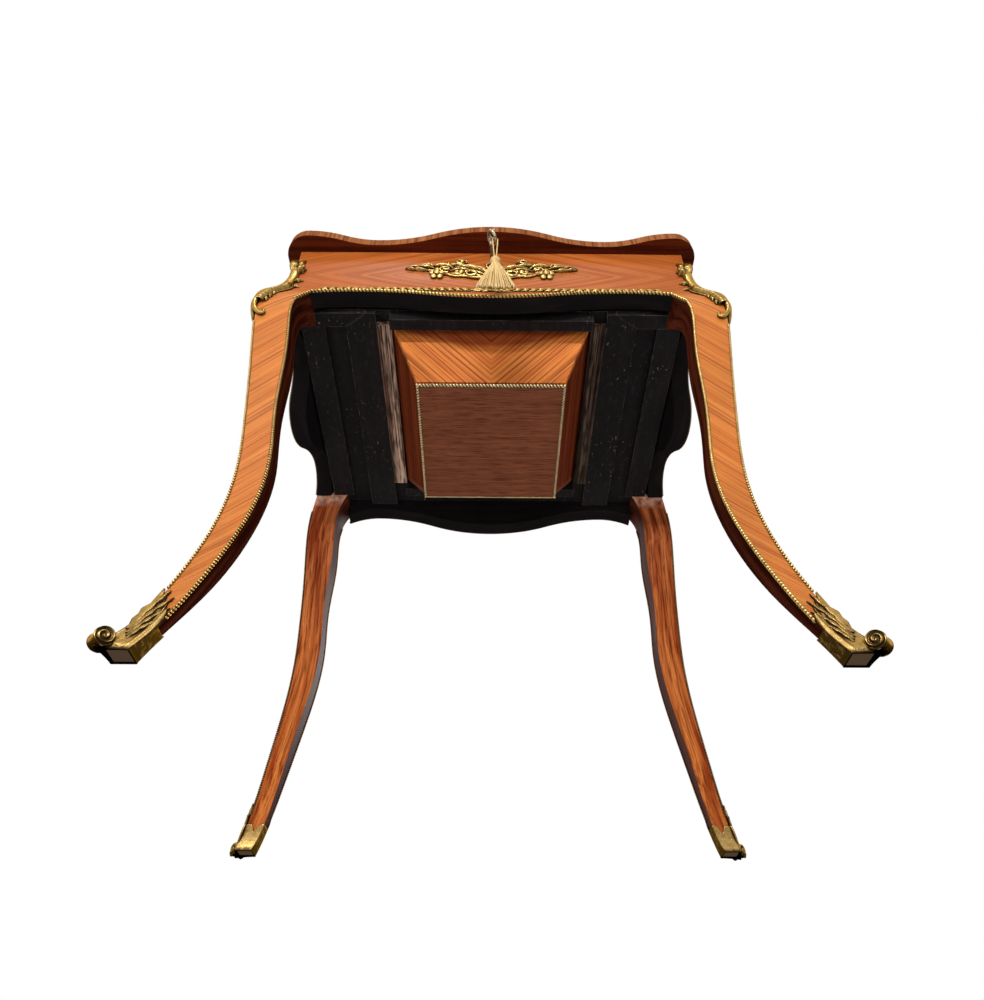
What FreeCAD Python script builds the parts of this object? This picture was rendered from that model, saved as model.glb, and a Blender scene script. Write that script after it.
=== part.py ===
import FreeCAD, Part
import math
import os
from types import SimpleNamespace

import Sketcher

# Work table on cabriole legs with a swelling case, a serpentine lid and a hanging well.
# Millimetres, +Z up, front towards -Y, origin on the floor in the middle of the four legs.

DRIVING = {
    # Case: a box between four corner posts, its faces drawn in at the waist and swelling below it.
    "case_width": 576.0,
    "case_depth": 410.0,
    "leg_height": 572.0,
    "case_height": 147.4,
    "waist": 4.0,
    "waist_drop": 79.4,
    "swell": 17.0,
    "swell_drop": 47.0,
    "panel_thickness": 24.0,
    "post_inset": 42.0,
    "fit_gap": 0.6,
    # Aprons: the lower edge of each face rises from the legs to two crests and hangs in a lobe between.
    "front_end_drop": 2.0,
    "front_crest_lift": 11.0,
    "front_crest_inset": 56.0,
    "front_lobe_drop": 21.0,
    "back_end_drop": 15.0,
    "back_crest_drop": 4.0,
    "back_crest_inset": 51.0,
    "back_lobe_drop": 35.0,
    "side_end_drop": 2.0,
    "side_crest_lift": 13.0,
    "side_crest_inset": 58.0,
    "side_lobe_drop": 29.0,
    # Legs: height, outward reach from the case corner and width of each section. The sections are square,
    # but the three lowest ones are less deep than wide, where the heel curves in above the sole.
    "sole_height": 1.5,
    "sole_reach": 8.0,
    "sole_width": 17.0,
    "sole_depth": 16.0,
    "pastern_height": 24.0,
    "pastern_reach": 2.0,
    "pastern_width": 19.5,
    "pastern_depth": 13.0,
    "ankle_height": 64.0,
    "ankle_reach": -7.0,
    "ankle_width": 21.0,
    "ankle_depth": 17.0,
    "shin_height": 150.0,
    "shin_reach": -20.0,
    "shin_width": 25.0,
    "calf_height": 280.0,
    "calf_reach": -18.0,
    "calf_width": 32.0,
    "thigh_height": 400.0,
    "thigh_reach": -1.0,
    "thigh_width": 38.0,
    "knee_drop": 82.0,
    "knee_reach": 13.0,
    "knee_width": 43.5,
    "shoulder_drop": 27.0,
    "shoulder_reach": 16.0,
    "shoulder_width": 45.0,
    # Shoes: gilt sleeves round the feet with a scrolled toe.
    "shoe_wall": 3.0,
    "shoe_lip": 1.2,
    "toe_radius": 8.0,
    "toe_length": 15.0,
    "toe_reach": 10.0,
    # Knee mounts: how far each section reaches along the faces and stands proud of the corner.
    "chute_tip_drop": 25.4,
    "chute_tip_reach": 7.0,
    "chute_tip_rise": 2.5,
    "chute_crest_drop": 51.4,
    "chute_crest_reach": 20.0,
    "chute_crest_rise": 4.0,
    "chute_waist_lift": 53.0,
    "chute_waist_reach": 15.0,
    "chute_waist_rise": 5.0,
    "chute_swell_lift": 3.0,
    "chute_swell_reach": 19.0,
    "chute_swell_rise": 6.0,
    "chute_foot_reach": 9.0,
    "chute_foot_rise": 4.0,
    "chute_edge": 1.2,
    "chute_bite": 5.0,
    # Beads: rope mouldings on the edges of aprons and legs.
    "bead_width": 5.0,
    "bead_rise": 2.0,
    # Lid: a serpentine board. It overhangs the case at the corners, dips in beside them and bows out
    # again in the middle of each edge.
    "lid_gap": 0.6,
    "lid_thickness": 20.0,
    "lid_bevel": 2.5,
    "lid_front_overhang": 25.0,
    "lid_front_dip": 14.0,
    "lid_front_bow": 22.0,
    "lid_front_dip_inset": 117.0,
    "lid_side_overhang": 22.0,
    "lid_side_dip": 10.0,
    "lid_side_bow": 18.0,
    "lid_side_dip_inset": 90.0,
    "lid_corner_radius": 35.0,
    # Hinges: butts let into the top of the back panel and the underside of the lid.
    "hinge_place": 170.0,
    "hinge_length": 46.0,
    "hinge_leaf": 1.6,
    "hinge_leaf_depth": 18.0,
    "hinge_setback": 4.4,
    "knuckle_radius": 3.2,
    "knuckle_middle": 15.4,
    "knuckle_gap": 0.3,
    "pin_radius": 1.5,
    "pin_clearance": 0.05,
    "pin_overhang": 1.0,
    "leaf_clearance": 0.3,
    # Lock: a case let into the front panel, with a sliding bolt and a staple on the lid.
    "lock_width": 68.0,
    "lock_height": 66.0,
    "lock_depth": 16.0,
    "lock_wall": 2.0,
    "lock_cover": 12.0,
    "keyhole_radius": 4.2,
    "bolt_drop": 13.0,
    "bolt_height": 5.0,
    "bolt_tail": 26.0,
    "bolt_tip": 10.0,
    "bolt_tip_thickness": 5.0,
    "bolt_clearance": 0.35,
    "staple_place": 15.5,
    "staple_thickness": 3.0,
    "staple_web": 2.0,
    "staple_eye_room": 1.2,
    "staple_slot_room": 1.6,
    "link_width": 30.0,
    "link_depth": 14.0,
    "link_thickness": 1.5,
    # Key: a round shaft with a bit, a collar and a flat ring bow that leans to one side.
    "key_drop": 43.4,
    "key_shaft_radius": 2.6,
    "key_reach": 43.0,
    "bow_radius": 9.5,
    "bow_wire": 1.7,
    "bow_lean": 60.0,
    "key_collar_radius": 4.0,
    "key_collar_length": 4.0,
    "key_bit_radius": 9.0,
    "key_bit_thickness": 3.0,
    "key_bit_length": 7.0,
    "key_end_gap": 1.2,
    # Tassel: a loop of cord over the bow, a bound head and a flat skirt of silk.
    "cord_radius": 0.9,
    "cord_gap": 0.3,
    "cord_drop": 60.0,
    "head_radius": 7.0,
    "head_height": 15.0,
    "head_band": 5.0,
    "neck_radius": 4.6,
    "skirt_length": 78.0,
    "skirt_half_width": 26.0,
    "skirt_half_depth": 8.0,
    # Mounts on the front frieze.
    "mount_thickness": 3.0,
    "strip_lift": 22.0,
    "strip_width": 10.0,
    "strip_end_gap": 6.0,
    "strip_rose_radius": 17.0,
    "escutcheon_wing": 112.0,
    "escutcheon_wing_drop": 12.0,
    "escutcheon_top_rise": 16.0,
    "escutcheon_bottom_drop": 39.0,
    "escutcheon_body": 30.0,
    "escutcheon_body_top_drop": 1.0,
    "escutcheon_body_bottom_drop": 24.0,
    "escutcheon_wing_bow": 420.0,
    "escutcheon_body_bow": 30.0,
    # Floors and the framing seen from below.
    "floor_thickness": 8.0,
    "frame_thickness": 10.0,
    "bearer_gap": 29.5,
    "bearer_width": 43.0,
    "well_rail_width": 20.5,
    "block_depth": 30.0,
    "block_gap": 1.5,
    "bar_thickness": 16.0,
    "bar_drop": 14.0,
    # Well: a cut-off pyramid hanging point down through the floor.
    "well_front_room": 39.0,
    "well_back_room": 71.0,
    "well_side_room": 147.0,
    "well_side_lean": 39.0,
    "well_end_lean": 44.0,
    "well_drop": 74.0,
    "well_wall": 9.0,
    "well_bottom_thickness": 8.0,
    "well_bead": 3.5,
    "well_bead_height": 5.0,
    # Partitions inside the case.
    "partition_thickness": 8.0,
    "partition_drop": 29.0,
}

doc = FreeCAD.newDocument("WorkTable")
sheet = doc.addObject("Spreadsheet::Sheet", "Sizes")
for row, (name, number) in enumerate(DRIVING.items(), start=1):
    sheet.set(f"A{row}", name)
    sheet.set(f"B{row}", str(number))
    sheet.setAlias(f"B{row}", name)
doc.recompute()


class Size:
    """A number with the sheet formula that gives it, so that both stay together in sums."""

    def __init__(self, value, formula):
        self.value = value
        self.formula = formula

    def __add__(self, other):
        other = as_size(other)
        return Size(self.value + other.value, f"({self.formula} + {other.formula})")

    def __sub__(self, other):
        other = as_size(other)
        return Size(self.value - other.value, f"({self.formula} - {other.formula})")

    def __mul__(self, other):
        other = as_size(other)
        return Size(self.value * other.value, f"({self.formula} * {other.formula})")

    def __truediv__(self, other):
        other = as_size(other)
        return Size(self.value / other.value, f"({self.formula} / {other.formula})")

    def __neg__(self):
        return Size(-self.value, f"(0 - {self.formula})")

    def root(self):
        return Size(math.sqrt(self.value), f"sqrt({self.formula})")

    def cosine(self):
        return Size(math.cos(math.radians(self.value)), f"cos({self.formula})")

    def sine(self):
        return Size(math.sin(math.radians(self.value)), f"sin({self.formula})")


def as_size(number):
    return number if isinstance(number, Size) else Size(float(number), f"{number}")


s = SimpleNamespace(**{name: Size(number, f"Sizes.{name}") for name, number in DRIVING.items()})
ZERO = as_size(0)
nodes = []


def bind(thing, prop, size):
    thing.setExpression(prop, size.formula)


def node(thing, label):
    """Give a finished sub-part its name and put it on the list of pieces."""
    thing.Label = label
    nodes.append(thing)
    return thing


# Drawing and solid helpers

def new_body(name):
    return doc.addObject("PartDesign::Body", f"{name}_body")


def new_sketch(body, plane, offset=ZERO):
    """A sketch on one of the body's origin planes, moved along the plane's normal."""
    sketch = body.newObject("Sketcher::SketchObject", f"{body.Name}_sketch")
    support = next(face for face in body.Origin.OriginFeatures if face.Role == plane)
    sketch.AttachmentSupport = (support, [""])
    sketch.MapMode = "FlatFace"
    bind(sketch, "AttachmentOffset.Base.z", offset)
    return sketch


def hold(sketch, edge, end, place):
    """Hold one end of an edge at its place, measured from the sketch's origin."""
    for size, kind, axis in ((place[0], "DistanceX", -2), (place[1], "DistanceY", -1)):
        if size is ZERO:
            sketch.addConstraint(Sketcher.Constraint("PointOnObject", edge, end, axis))
            continue
        index = sketch.addConstraint(Sketcher.Constraint(kind, -1, 1, edge, end, size.value))
        bind(sketch, f"Constraints[{index}]", size)


def draw_arc(sketch, start, finish, radius, side):
    """Add an arc of less than half a circle. Returns the edge with the ends it starts and stops at."""
    along = finish - start
    left = FreeCAD.Vector(-along.y, along.x, 0).normalize()
    rise = math.sqrt(radius.value ** 2 - along.Length ** 2 / 4)
    middle = (start + finish) / 2 + left * (rise * side)
    circle = Part.Circle(middle, FreeCAD.Vector(0, 0, 1), radius.value)
    first, last = (start, finish) if side > 0 else (finish, start)
    edge = sketch.addGeometry(Part.ArcOfCircle(circle, circle.parameter(first), circle.parameter(last)))
    index = sketch.addConstraint(Sketcher.Constraint("Radius", edge, radius.value))
    bind(sketch, f"Constraints[{index}]", radius)
    return (edge, 1, 2) if side > 0 else (edge, 2, 1)


def outline(sketch, corners):
    """Draw a closed outline. A corner with a radius and a side starts an arc to the next corner:
    side 1 bends to the left of the way round, side -1 to the right."""
    ends = []
    for index, corner in enumerate(corners):
        following = corners[(index + 1) % len(corners)]
        start = FreeCAD.Vector(corner[0].value, corner[1].value, 0)
        finish = FreeCAD.Vector(following[0].value, following[1].value, 0)
        if len(corner) == 2:
            ends.append((sketch.addGeometry(Part.LineSegment(start, finish)), 1, 2))
        else:
            ends.append(draw_arc(sketch, start, finish, *corner[2:]))
    for index, (edge, _, finish) in enumerate(ends):
        next_edge, next_start, _ = ends[(index + 1) % len(ends)]
        sketch.addConstraint(Sketcher.Constraint("Coincident", edge, finish, next_edge, next_start))
    for corner, (edge, start, _) in zip(corners, ends):
        hold(sketch, edge, start, corner)


def prism(name, plane, corners, length, offset=ZERO):
    """A body padded evenly to both sides of a plane from one outline."""
    body = new_body(name)
    sketch = new_sketch(body, plane, offset)
    outline(sketch, corners)
    feature = body.newObject("PartDesign::Pad", f"{name}_pad")
    feature.Profile = sketch
    feature.SideType = "Symmetric"
    bind(feature, "Length", length)
    return body


def slab(name, corners, low, high):
    """A body padded from one level up to another."""
    return prism(name, "XY_Plane", corners, high - low, (low + high) / 2)


def loft(name, sections, ruled=False):
    """A body lofted through level outlines, each given with its height."""
    body = new_body(name)
    sketches = []
    for height, corners in sections:
        sketch = new_sketch(body, "XY_Plane", height)
        outline(sketch, corners)
        sketches.append(sketch)
    feature = body.newObject("PartDesign::AdditiveLoft", f"{name}_loft")
    feature.Profile = sketches[0]
    feature.Sections = sketches[1:]
    feature.Ruled = ruled
    return body


def move(thing, place):
    for axis, size in zip("xyz", place):
        bind(thing, f"Placement.Base.{axis}", size)


def board(name, width, depth, height):
    """A box between the low and high ends given for X, Y and Z."""
    box = doc.addObject("Part::Box", name)
    for prop, (low, high) in zip(("Length", "Width", "Height"), (width, depth, height)):
        bind(box, prop, high - low)
    move(box, (width[0], depth[0], height[0]))
    return box


def rod(name, start, radius, length, turn_axis):
    """A cylinder from a point, along Z turned a quarter about an axis."""
    cylinder = doc.addObject("Part::Cylinder", name)
    bind(cylinder, "Radius", radius)
    bind(cylinder, "Height", length)
    cylinder.Placement = FreeCAD.Placement(FreeCAD.Vector(), FreeCAD.Rotation(turn_axis, 90))
    move(cylinder, start)
    return cylinder


TOWARDS_X = FreeCAD.Vector(0, 1, 0)
TOWARDS_Y = FreeCAD.Vector(-1, 0, 0)
TOWARDS_DIAGONAL = FreeCAD.Vector(1, 1, 0)


def fuse(name, *shapes):
    whole = doc.addObject("Part::MultiFuse", name)
    whole.Shapes = list(shapes)
    whole.Refine = True
    return whole


def common(name, *shapes):
    whole = doc.addObject("Part::MultiCommon", name)
    whole.Shapes = list(shapes)
    return whole


def cut(name, base, *tools):
    piece = doc.addObject("Part::Cut", name)
    piece.Base = base
    piece.Tool = tools[0] if len(tools) == 1 else fuse(f"{name}_tools", *tools)
    return piece


def group(name, *shapes):
    whole = doc.addObject("Part::Compound", name)
    whole.Links = list(shapes)
    return whole


ACROSS = FreeCAD.Vector(1, 0, 0)
ALONG = FreeCAD.Vector(0, 1, 0)


def mirrored(name, source, normal):
    piece = doc.addObject("Part::Mirroring", name)
    piece.Source = source
    piece.Normal = normal
    return piece


def left_and_right(label, left):
    """List a left-hand piece and its mirror image."""
    node(left, f"{label}_left")
    node(mirrored(f"{label}_right", left, ACROSS), f"{label}_right")


def on_four_corners(name, front_left):
    """A front left piece with its mirror images on the other three corners."""
    front_right = mirrored(f"{name}_front_right", front_left, ACROSS)
    return {
        f"{name}_front_left": front_left,
        f"{name}_front_right": front_right,
        f"{name}_rear_left": mirrored(f"{name}_rear_left", front_left, ALONG),
        f"{name}_rear_right": mirrored(f"{name}_rear_right", front_right, ALONG),
    }


# Shared levels and faces worked out from the driving sizes

half_width = s.case_width / 2
half_depth = s.case_depth / 2
post_x = half_width - s.post_inset
post_y = half_depth - s.post_inset
case_top = s.leg_height + s.case_height
lid_bottom = case_top + s.lid_gap
floor_bottom = s.leg_height + s.frame_thickness
floor_top = floor_bottom + s.floor_thickness
waist_height = case_top - s.waist_drop
swell_height = s.leg_height - s.swell_drop
swell_span = waist_height - swell_height
swell_step = s.swell + s.waist
swell_middle = (waist_height + swell_height) / 2
swell_half = (s.swell - s.waist) / 2
swell_radius = (swell_span * swell_span + swell_step * swell_step) / (swell_step * 4)
knee_height = s.leg_height - s.knee_drop
shoulder_height = s.leg_height - s.shoulder_drop


def low_swell(height):
    """How far the case stands out at a height in the lower half of its swelling face."""
    above = height - swell_height
    return s.swell - swell_radius + (swell_radius * swell_radius - above * above).root()


def high_swell(height):
    """The same in the upper half, up to the waist."""
    below = waist_height - height
    return swell_radius - s.waist - (swell_radius * swell_radius - below * below).root()


def frieze_lean(height):
    """The same above the waist, where the face leans out to the top."""
    return -(s.waist * (case_top - height) / s.waist_drop)


def skin_up(crown):
    """Upright section line of a swelling face from its lowest end to the crown at the top.
    Below the waist it is an ogee of two equal arcs, upright at the waist and where it swells most."""
    return [
        (-(crown + s.swell), swell_height, swell_radius, -1),
        (-(crown + swell_half), swell_middle, swell_radius, 1),
        (-(crown - s.waist), waist_height),
        (-crown, case_top),
    ]


def skin_down(crown):
    """The same line from the top down."""
    return [
        (-crown, case_top),
        (-(crown - s.waist), waist_height, swell_radius, -1),
        (-(crown + swell_half), swell_middle, swell_radius, 1),
        (-(crown + s.swell), swell_height),
    ]


# Legs: the corner post swells like the case and runs down into a square cabriole leg

def leg_section(reach, width, depth):
    """A rectangle at the front left corner, reaching past the case corner."""
    far_x = -(half_width + reach)
    far_y = -(half_depth + reach)
    return [
        (far_x, far_y),
        (far_x + width, far_y),
        (far_x + width, far_y + depth),
        (far_x, far_y + depth),
    ]


joint_reach = low_swell(s.leg_height)
joint_width = joint_reach + s.post_inset
LEG_STATIONS = {
    "sole": (s.sole_height, s.sole_reach, s.sole_width, s.sole_depth),
    "pastern": (s.pastern_height, s.pastern_reach, s.pastern_width, s.pastern_depth),
    "ankle": (s.ankle_height, s.ankle_reach, s.ankle_width, s.ankle_depth),
    "shin": (s.shin_height, s.shin_reach, s.shin_width, s.shin_width),
    "calf": (s.calf_height, s.calf_reach, s.calf_width, s.calf_width),
    "thigh": (s.thigh_height, s.thigh_reach, s.thigh_width, s.thigh_width),
    "knee": (knee_height, s.knee_reach, s.knee_width, s.knee_width),
    "shoulder": (shoulder_height, s.shoulder_reach, s.shoulder_width, s.shoulder_width),
    "joint": (s.leg_height, joint_reach, joint_width, joint_width),
}


def make_leg():
    sections = [(height, leg_section(*shape)) for height, *shape in LEG_STATIONS.values()]
    cabriole = loft("leg_cabriole", sections)
    span = s.case_width + s.case_depth
    faces = []
    for name, plane, face in (("front", "YZ_Plane", half_depth), ("side", "XZ_Plane", half_width)):
        inner = -(face - s.post_inset)
        faces.append(prism(f"post_{name}", plane, [
            (-(face + joint_reach), s.leg_height, swell_radius, -1),
            (-(face + swell_half), swell_middle, swell_radius, 1),
            (-(face - s.waist), waist_height),
            (-face, case_top),
            (inner, case_top),
            (inner, s.leg_height),
        ], span))
    return fuse("leg_whole", cabriole, common("leg_post", *faces))


def make_shoe(leg):
    """A sleeve round the foot, open below, with a scroll across the toe."""
    walls = {"sole": s.shoe_wall, "pastern": s.shoe_wall, "ankle": s.shoe_lip}
    sections = []
    for station, wall in walls.items():
        height, reach, width, depth = LEG_STATIONS[station]
        level = ZERO if station == "sole" else height
        sections.append((level, leg_section(reach + wall, width + wall * 2, depth + wall * 2)))
    sleeve = loft("shoe_sleeve", sections)
    slant = s.toe_length / (math.sqrt(2) * 2)
    toe_x = -(half_width + s.toe_reach)
    toe_y = -(half_depth + s.toe_reach)
    toe_start = (toe_x - slant, toe_y + slant, s.toe_radius)
    scroll = rod("shoe_scroll", toe_start, s.toe_radius, s.toe_length, TOWARDS_DIAGONAL)
    sole = leg_section(s.sole_reach, s.sole_width, s.sole_depth)
    hollow = slab("shoe_hollow", sole, -s.shoe_wall, s.sole_height)
    return cut("shoe", fuse("shoe_whole", sleeve, scroll), leg, hollow)


def chute_section(corner_reach, reach, rise):
    """An angle round the case corner, biting into the wood so that it seats when the wood is cut away."""
    corner_x = -(half_width + corner_reach)
    corner_y = -(half_depth + corner_reach)
    return [
        (corner_x - rise, corner_y - rise),
        (corner_x + reach, corner_y - s.chute_edge),
        (corner_x + reach, corner_y + s.chute_bite),
        (corner_x + s.chute_bite, corner_y + s.chute_bite),
        (corner_x + s.chute_bite, corner_y + reach),
        (corner_x - s.chute_edge, corner_y + reach),
    ]


def make_chute(leg):
    tip = case_top - s.chute_tip_drop
    crest = case_top - s.chute_crest_drop
    waist = s.leg_height + s.chute_waist_lift
    swelling = s.leg_height + s.chute_swell_lift
    sections = [
        (tip, chute_section(frieze_lean(tip), s.chute_tip_reach, s.chute_tip_rise)),
        (crest, chute_section(frieze_lean(crest), s.chute_crest_reach, s.chute_crest_rise)),
        (waist, chute_section(high_swell(waist), s.chute_waist_reach, s.chute_waist_rise)),
        (swelling, chute_section(low_swell(swelling), s.chute_swell_reach, s.chute_swell_rise)),
        (shoulder_height, chute_section(s.shoulder_reach, s.chute_swell_reach, s.chute_swell_rise)),
        (knee_height, chute_section(s.knee_reach, s.chute_foot_reach, s.chute_foot_rise)),
    ]
    return cut("chute", loft("chute_blank", sections, ruled=True), leg)


def make_leg_bead(name, leg, in_x, in_y, top):
    """A rope bead along one edge of the leg, from the shoe up; in_x and in_y pick the edge."""
    sections = []
    for height, reach, width, depth in LEG_STATIONS.values():
        edge_x = width * in_x - half_width - reach
        edge_y = depth * in_y - half_depth - reach
        near_x = edge_x - s.bead_rise
        near_y = edge_y - s.bead_rise
        far_x = edge_x + s.bead_rise
        far_y = edge_y + s.bead_rise
        sections.append((height, [(near_x, near_y), (far_x, near_y), (far_x, far_y), (near_x, far_y)]))
    run = loft(f"{name}_run", sections, ruled=True)
    reach = s.case_width
    length = board(f"{name}_length", (-reach, reach), (-reach, reach), (s.ankle_height, top))
    return cut(name, common(f"{name}_rope", run, length), leg)


leg = make_leg()
for label, piece in on_four_corners("leg", leg).items():
    node(piece, label)
for label, piece in on_four_corners("sabot", make_shoe(leg)).items():
    node(piece, label)
for label, piece in on_four_corners("chute", make_chute(leg)).items():
    node(piece, label)
corner_bead = make_leg_bead("corner_bead", leg, 0, 0, knee_height)
node(group("corner_bead_group", *on_four_corners("corner_bead", corner_bead).values()), "leg_corner_beads")
face_bead = make_leg_bead("face_bead", leg, 1, 0, shoulder_height)
side_bead = make_leg_bead("side_bead", leg, 0, 1, shoulder_height)
inner_beads = list(on_four_corners("face_bead", face_bead).values())
inner_beads += on_four_corners("side_bead", side_bead).values()
node(group("inner_bead_group", *inner_beads), "leg_inner_beads")


# Frieze panels between the posts, each with a shaped apron and a rope bead along its edge

def apron_line(half_length, inset, levels, lift):
    """Lower edge of an apron from end to end, lifted off by a distance. It rises in an arc from each
    leg to a crest, an inset from the leg, and falls in an ogee to the lobe in the middle."""
    end, crest, lobe = [s.leg_height + level for level in levels]
    reach = half_length - inset
    rise = crest - end
    bracket = (inset * inset + rise * rise) / (rise * 2)
    step = crest - lobe
    radius = (reach * reach + step * step) / (step * 4)
    half = (crest + lobe) / 2 + lift
    return [
        (-half_length, end + lift, bracket, -1),
        (-reach, crest + lift, radius, -1),
        (-(reach / 2), half, radius, 1),
        (ZERO, lobe + lift, radius, 1),
        (reach / 2, half, radius, -1),
        (reach, crest + lift, bracket, -1),
        (half_length, end + lift),
    ]


def backwards(line):
    """The same line drawn from its other end."""
    turned = []
    for index in range(len(line) - 1, -1, -1):
        bend = line[index - 1][2:] if index else ()
        turned.append(line[index][:2] + ((bend[0], -bend[1]) if bend else ()))
    return turned


def make_panel(name, plane, face, half_length, *shape):
    """A frieze panel at the front or the left: the swelling section, less what the apron leaves out."""
    profile = skin_up(face) + skin_down(face - s.panel_thickness)
    body = prism(name, plane, profile, half_length * 2)
    sketch = new_sketch(body, "XZ_Plane" if plane == "YZ_Plane" else "YZ_Plane")
    below = swell_height - s.panel_thickness
    edge = apron_line(half_length, *shape, ZERO)
    outline(sketch, backwards(edge) + [(-half_length, below), (half_length, below)])
    apron = body.newObject("PartDesign::Pocket", f"{name}_apron")
    apron.Profile = sketch
    apron.SideType = "Symmetric"
    bind(apron, "Length", (s.case_width + s.case_depth) * 2)
    return body


def make_apron_bead(name, plane, face, half_length, *shape):
    """A rope bead on the face of an apron, following its lower edge."""
    skin = prism(f"{name}_skin", plane, skin_up(face + s.bead_rise) + skin_down(face), half_length * 2)
    across = "XZ_Plane" if plane == "YZ_Plane" else "YZ_Plane"
    edge = apron_line(half_length, *shape, ZERO)
    upper_edge = apron_line(half_length, *shape, s.bead_width)
    band = prism(f"{name}_band", across, edge + backwards(upper_edge), (s.case_width + s.case_depth) * 2)
    return common(name, skin, band)


left_shape = ("XZ_Plane", half_width, post_y, s.side_crest_inset,
              (-s.side_end_drop, s.side_crest_lift, -s.side_lobe_drop))
front_shape = ("YZ_Plane", half_depth, post_x, s.front_crest_inset,
               (-s.front_end_drop, s.front_crest_lift, -s.front_lobe_drop))
back_shape = ("YZ_Plane", half_depth, post_x, s.back_crest_inset,
              (-s.back_end_drop, -s.back_crest_drop, -s.back_lobe_drop))
left_and_right("panel", make_panel("left_panel", *left_shape))
left_and_right("apron_bead", make_apron_bead("left_bead", *left_shape))
node(make_apron_bead("front_bead", *front_shape), "apron_bead_front")
node(mirrored("back_bead_turned", make_apron_bead("back_bead", *back_shape), ALONG), "apron_bead_back")


# Lock, key and keyhole in the front panel

key_height = case_top - s.key_drop
lock_front = s.lock_cover - half_depth
lock_back = lock_front + s.lock_depth
cavity_front = lock_front + s.lock_wall
cavity_back = lock_back - s.lock_wall
lock_half = s.lock_width / 2
lock_low = case_top - s.lock_height
lock_middle = (lock_front + lock_back) / 2
bolt_low = case_top - s.bolt_drop - s.bolt_height / 2
bolt_high = bolt_low + s.bolt_height
tip_half = s.bolt_tip_thickness / 2
eye_half = tip_half + s.staple_eye_room
staple_half = eye_half + s.staple_web
staple_low = bolt_low - s.staple_eye_room - s.staple_web
staple_near = s.staple_place - s.staple_thickness / 2
staple_far = s.staple_place + s.staple_thickness / 2


def through_keyhole(name):
    """The round hole for the key, from well in front of the frieze to inside the lock."""
    start = (ZERO, -s.case_depth, key_height)
    return rod(name, start, s.keyhole_radius, s.case_depth + lock_middle, TOWARDS_Y)


lock_room = ((-lock_half, lock_half), (lock_front, ZERO), (lock_low, lid_bottom))
front_panel = cut("front_panel_whole", make_panel("front_panel", *front_shape),
                  board("lock_recess", *lock_room), through_keyhole("panel_keyhole"))
node(front_panel, "panel_front")

slot_half = staple_half + s.staple_slot_room
lock_box = board("lock_box", (-lock_half, lock_half), (lock_front, lock_back), (lock_low, case_top))
lock_cavity = board("lock_cavity", (s.lock_wall - lock_half, lock_half - s.lock_wall),
                    (cavity_front, cavity_back), (lock_low + s.lock_wall, case_top - s.lock_wall))
lock_slot = board("lock_slot", (staple_near - s.staple_slot_room, staple_far + s.staple_slot_room),
                  (lock_middle - slot_half, lock_middle + slot_half), (bolt_high, lid_bottom))
node(cut("lock_whole", lock_box, lock_cavity, lock_slot, through_keyhole("lock_keyhole")), "lock_case")

bolt_tail = board("bolt_tail", (-s.bolt_tail, ZERO),
                  (cavity_front + s.bolt_clearance, cavity_back - s.bolt_clearance), (bolt_low, bolt_high))
bolt_tip = board("bolt_tip", (ZERO, s.bolt_tip), (lock_middle - tip_half, lock_middle + tip_half),
                 (bolt_low, bolt_high))
node(fuse("bolt_whole", bolt_tail, bolt_tip), "lock_bolt")

link_room = ((s.staple_place - s.link_width / 2, s.staple_place + s.link_width / 2),
             (lock_middle - s.link_depth / 2, lock_middle + s.link_depth / 2))
link_top = lid_bottom + s.link_thickness
link_base = board("link_base", *link_room, (lid_bottom, link_top))
staple = board("staple", (staple_near, staple_far), (lock_middle - staple_half, lock_middle + staple_half),
               (staple_low, lid_bottom))
staple_eye = board("staple_eye", (-lock_half, lock_half), (lock_middle - eye_half, lock_middle + eye_half),
                   (bolt_low - s.staple_eye_room, bolt_high + s.staple_eye_room))
node(cut("link_whole", fuse("link_blank", link_base, staple), staple_eye), "link_plate")

bow_middle = -(half_depth + s.key_reach)
key_end = cavity_back - s.key_end_gap
collar_front = bow_middle + s.bow_radius
shaft_start = (ZERO, collar_front, key_height)
shaft = rod("key_shaft", shaft_start, s.key_shaft_radius, key_end - collar_front, TOWARDS_Y)
collar = rod("key_collar", shaft_start, s.key_collar_radius, s.key_collar_length, TOWARDS_Y)
bit = board("key_bit", (-(s.key_bit_thickness / 2), s.key_bit_thickness / 2),
            (key_end - s.key_bit_length, key_end), (key_height - s.key_bit_radius, key_height))
lean_x = s.bow_lean.sine() * s.bow_wire
lean_z = s.bow_lean.cosine() * s.bow_wire
rounds = []
for name, radius in (("outer", s.bow_radius + s.bow_wire), ("inner", s.bow_radius - s.bow_wire)):
    start = (-lean_x, bow_middle, key_height - lean_z)
    disc = rod(f"key_bow_{name}", start, radius, s.bow_wire * 2, TOWARDS_X)
    bind(disc, "Placement.Rotation.Angle", s.bow_lean)
    rounds.append(disc)
bow = cut("key_bow", *rounds)
node(fuse("key_whole", shaft, collar, bit, bow), "key")


# Tassel: it hangs by a loop of cord from the lowest part of the leaning bow

hang_x = s.bow_radius * s.bow_lean.cosine()
hang_z = key_height - s.bow_radius * s.bow_lean.sine()
head_top = hang_z - s.cord_drop
head_bottom = head_top - s.head_height


CORD_SIDES = 6
TASSEL_SIDES = 12
UPRIGHT = FreeCAD.Vector(0, 0, 1)


def cord_section(middle_x):
    """Corners of the cord's many-sided section."""
    corners = []
    for side in range(CORD_SIDES):
        angle = math.tau * side / CORD_SIDES
        corners.append((middle_x + s.cord_radius * math.cos(angle), s.cord_radius * math.sin(angle)))
    return corners


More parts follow.
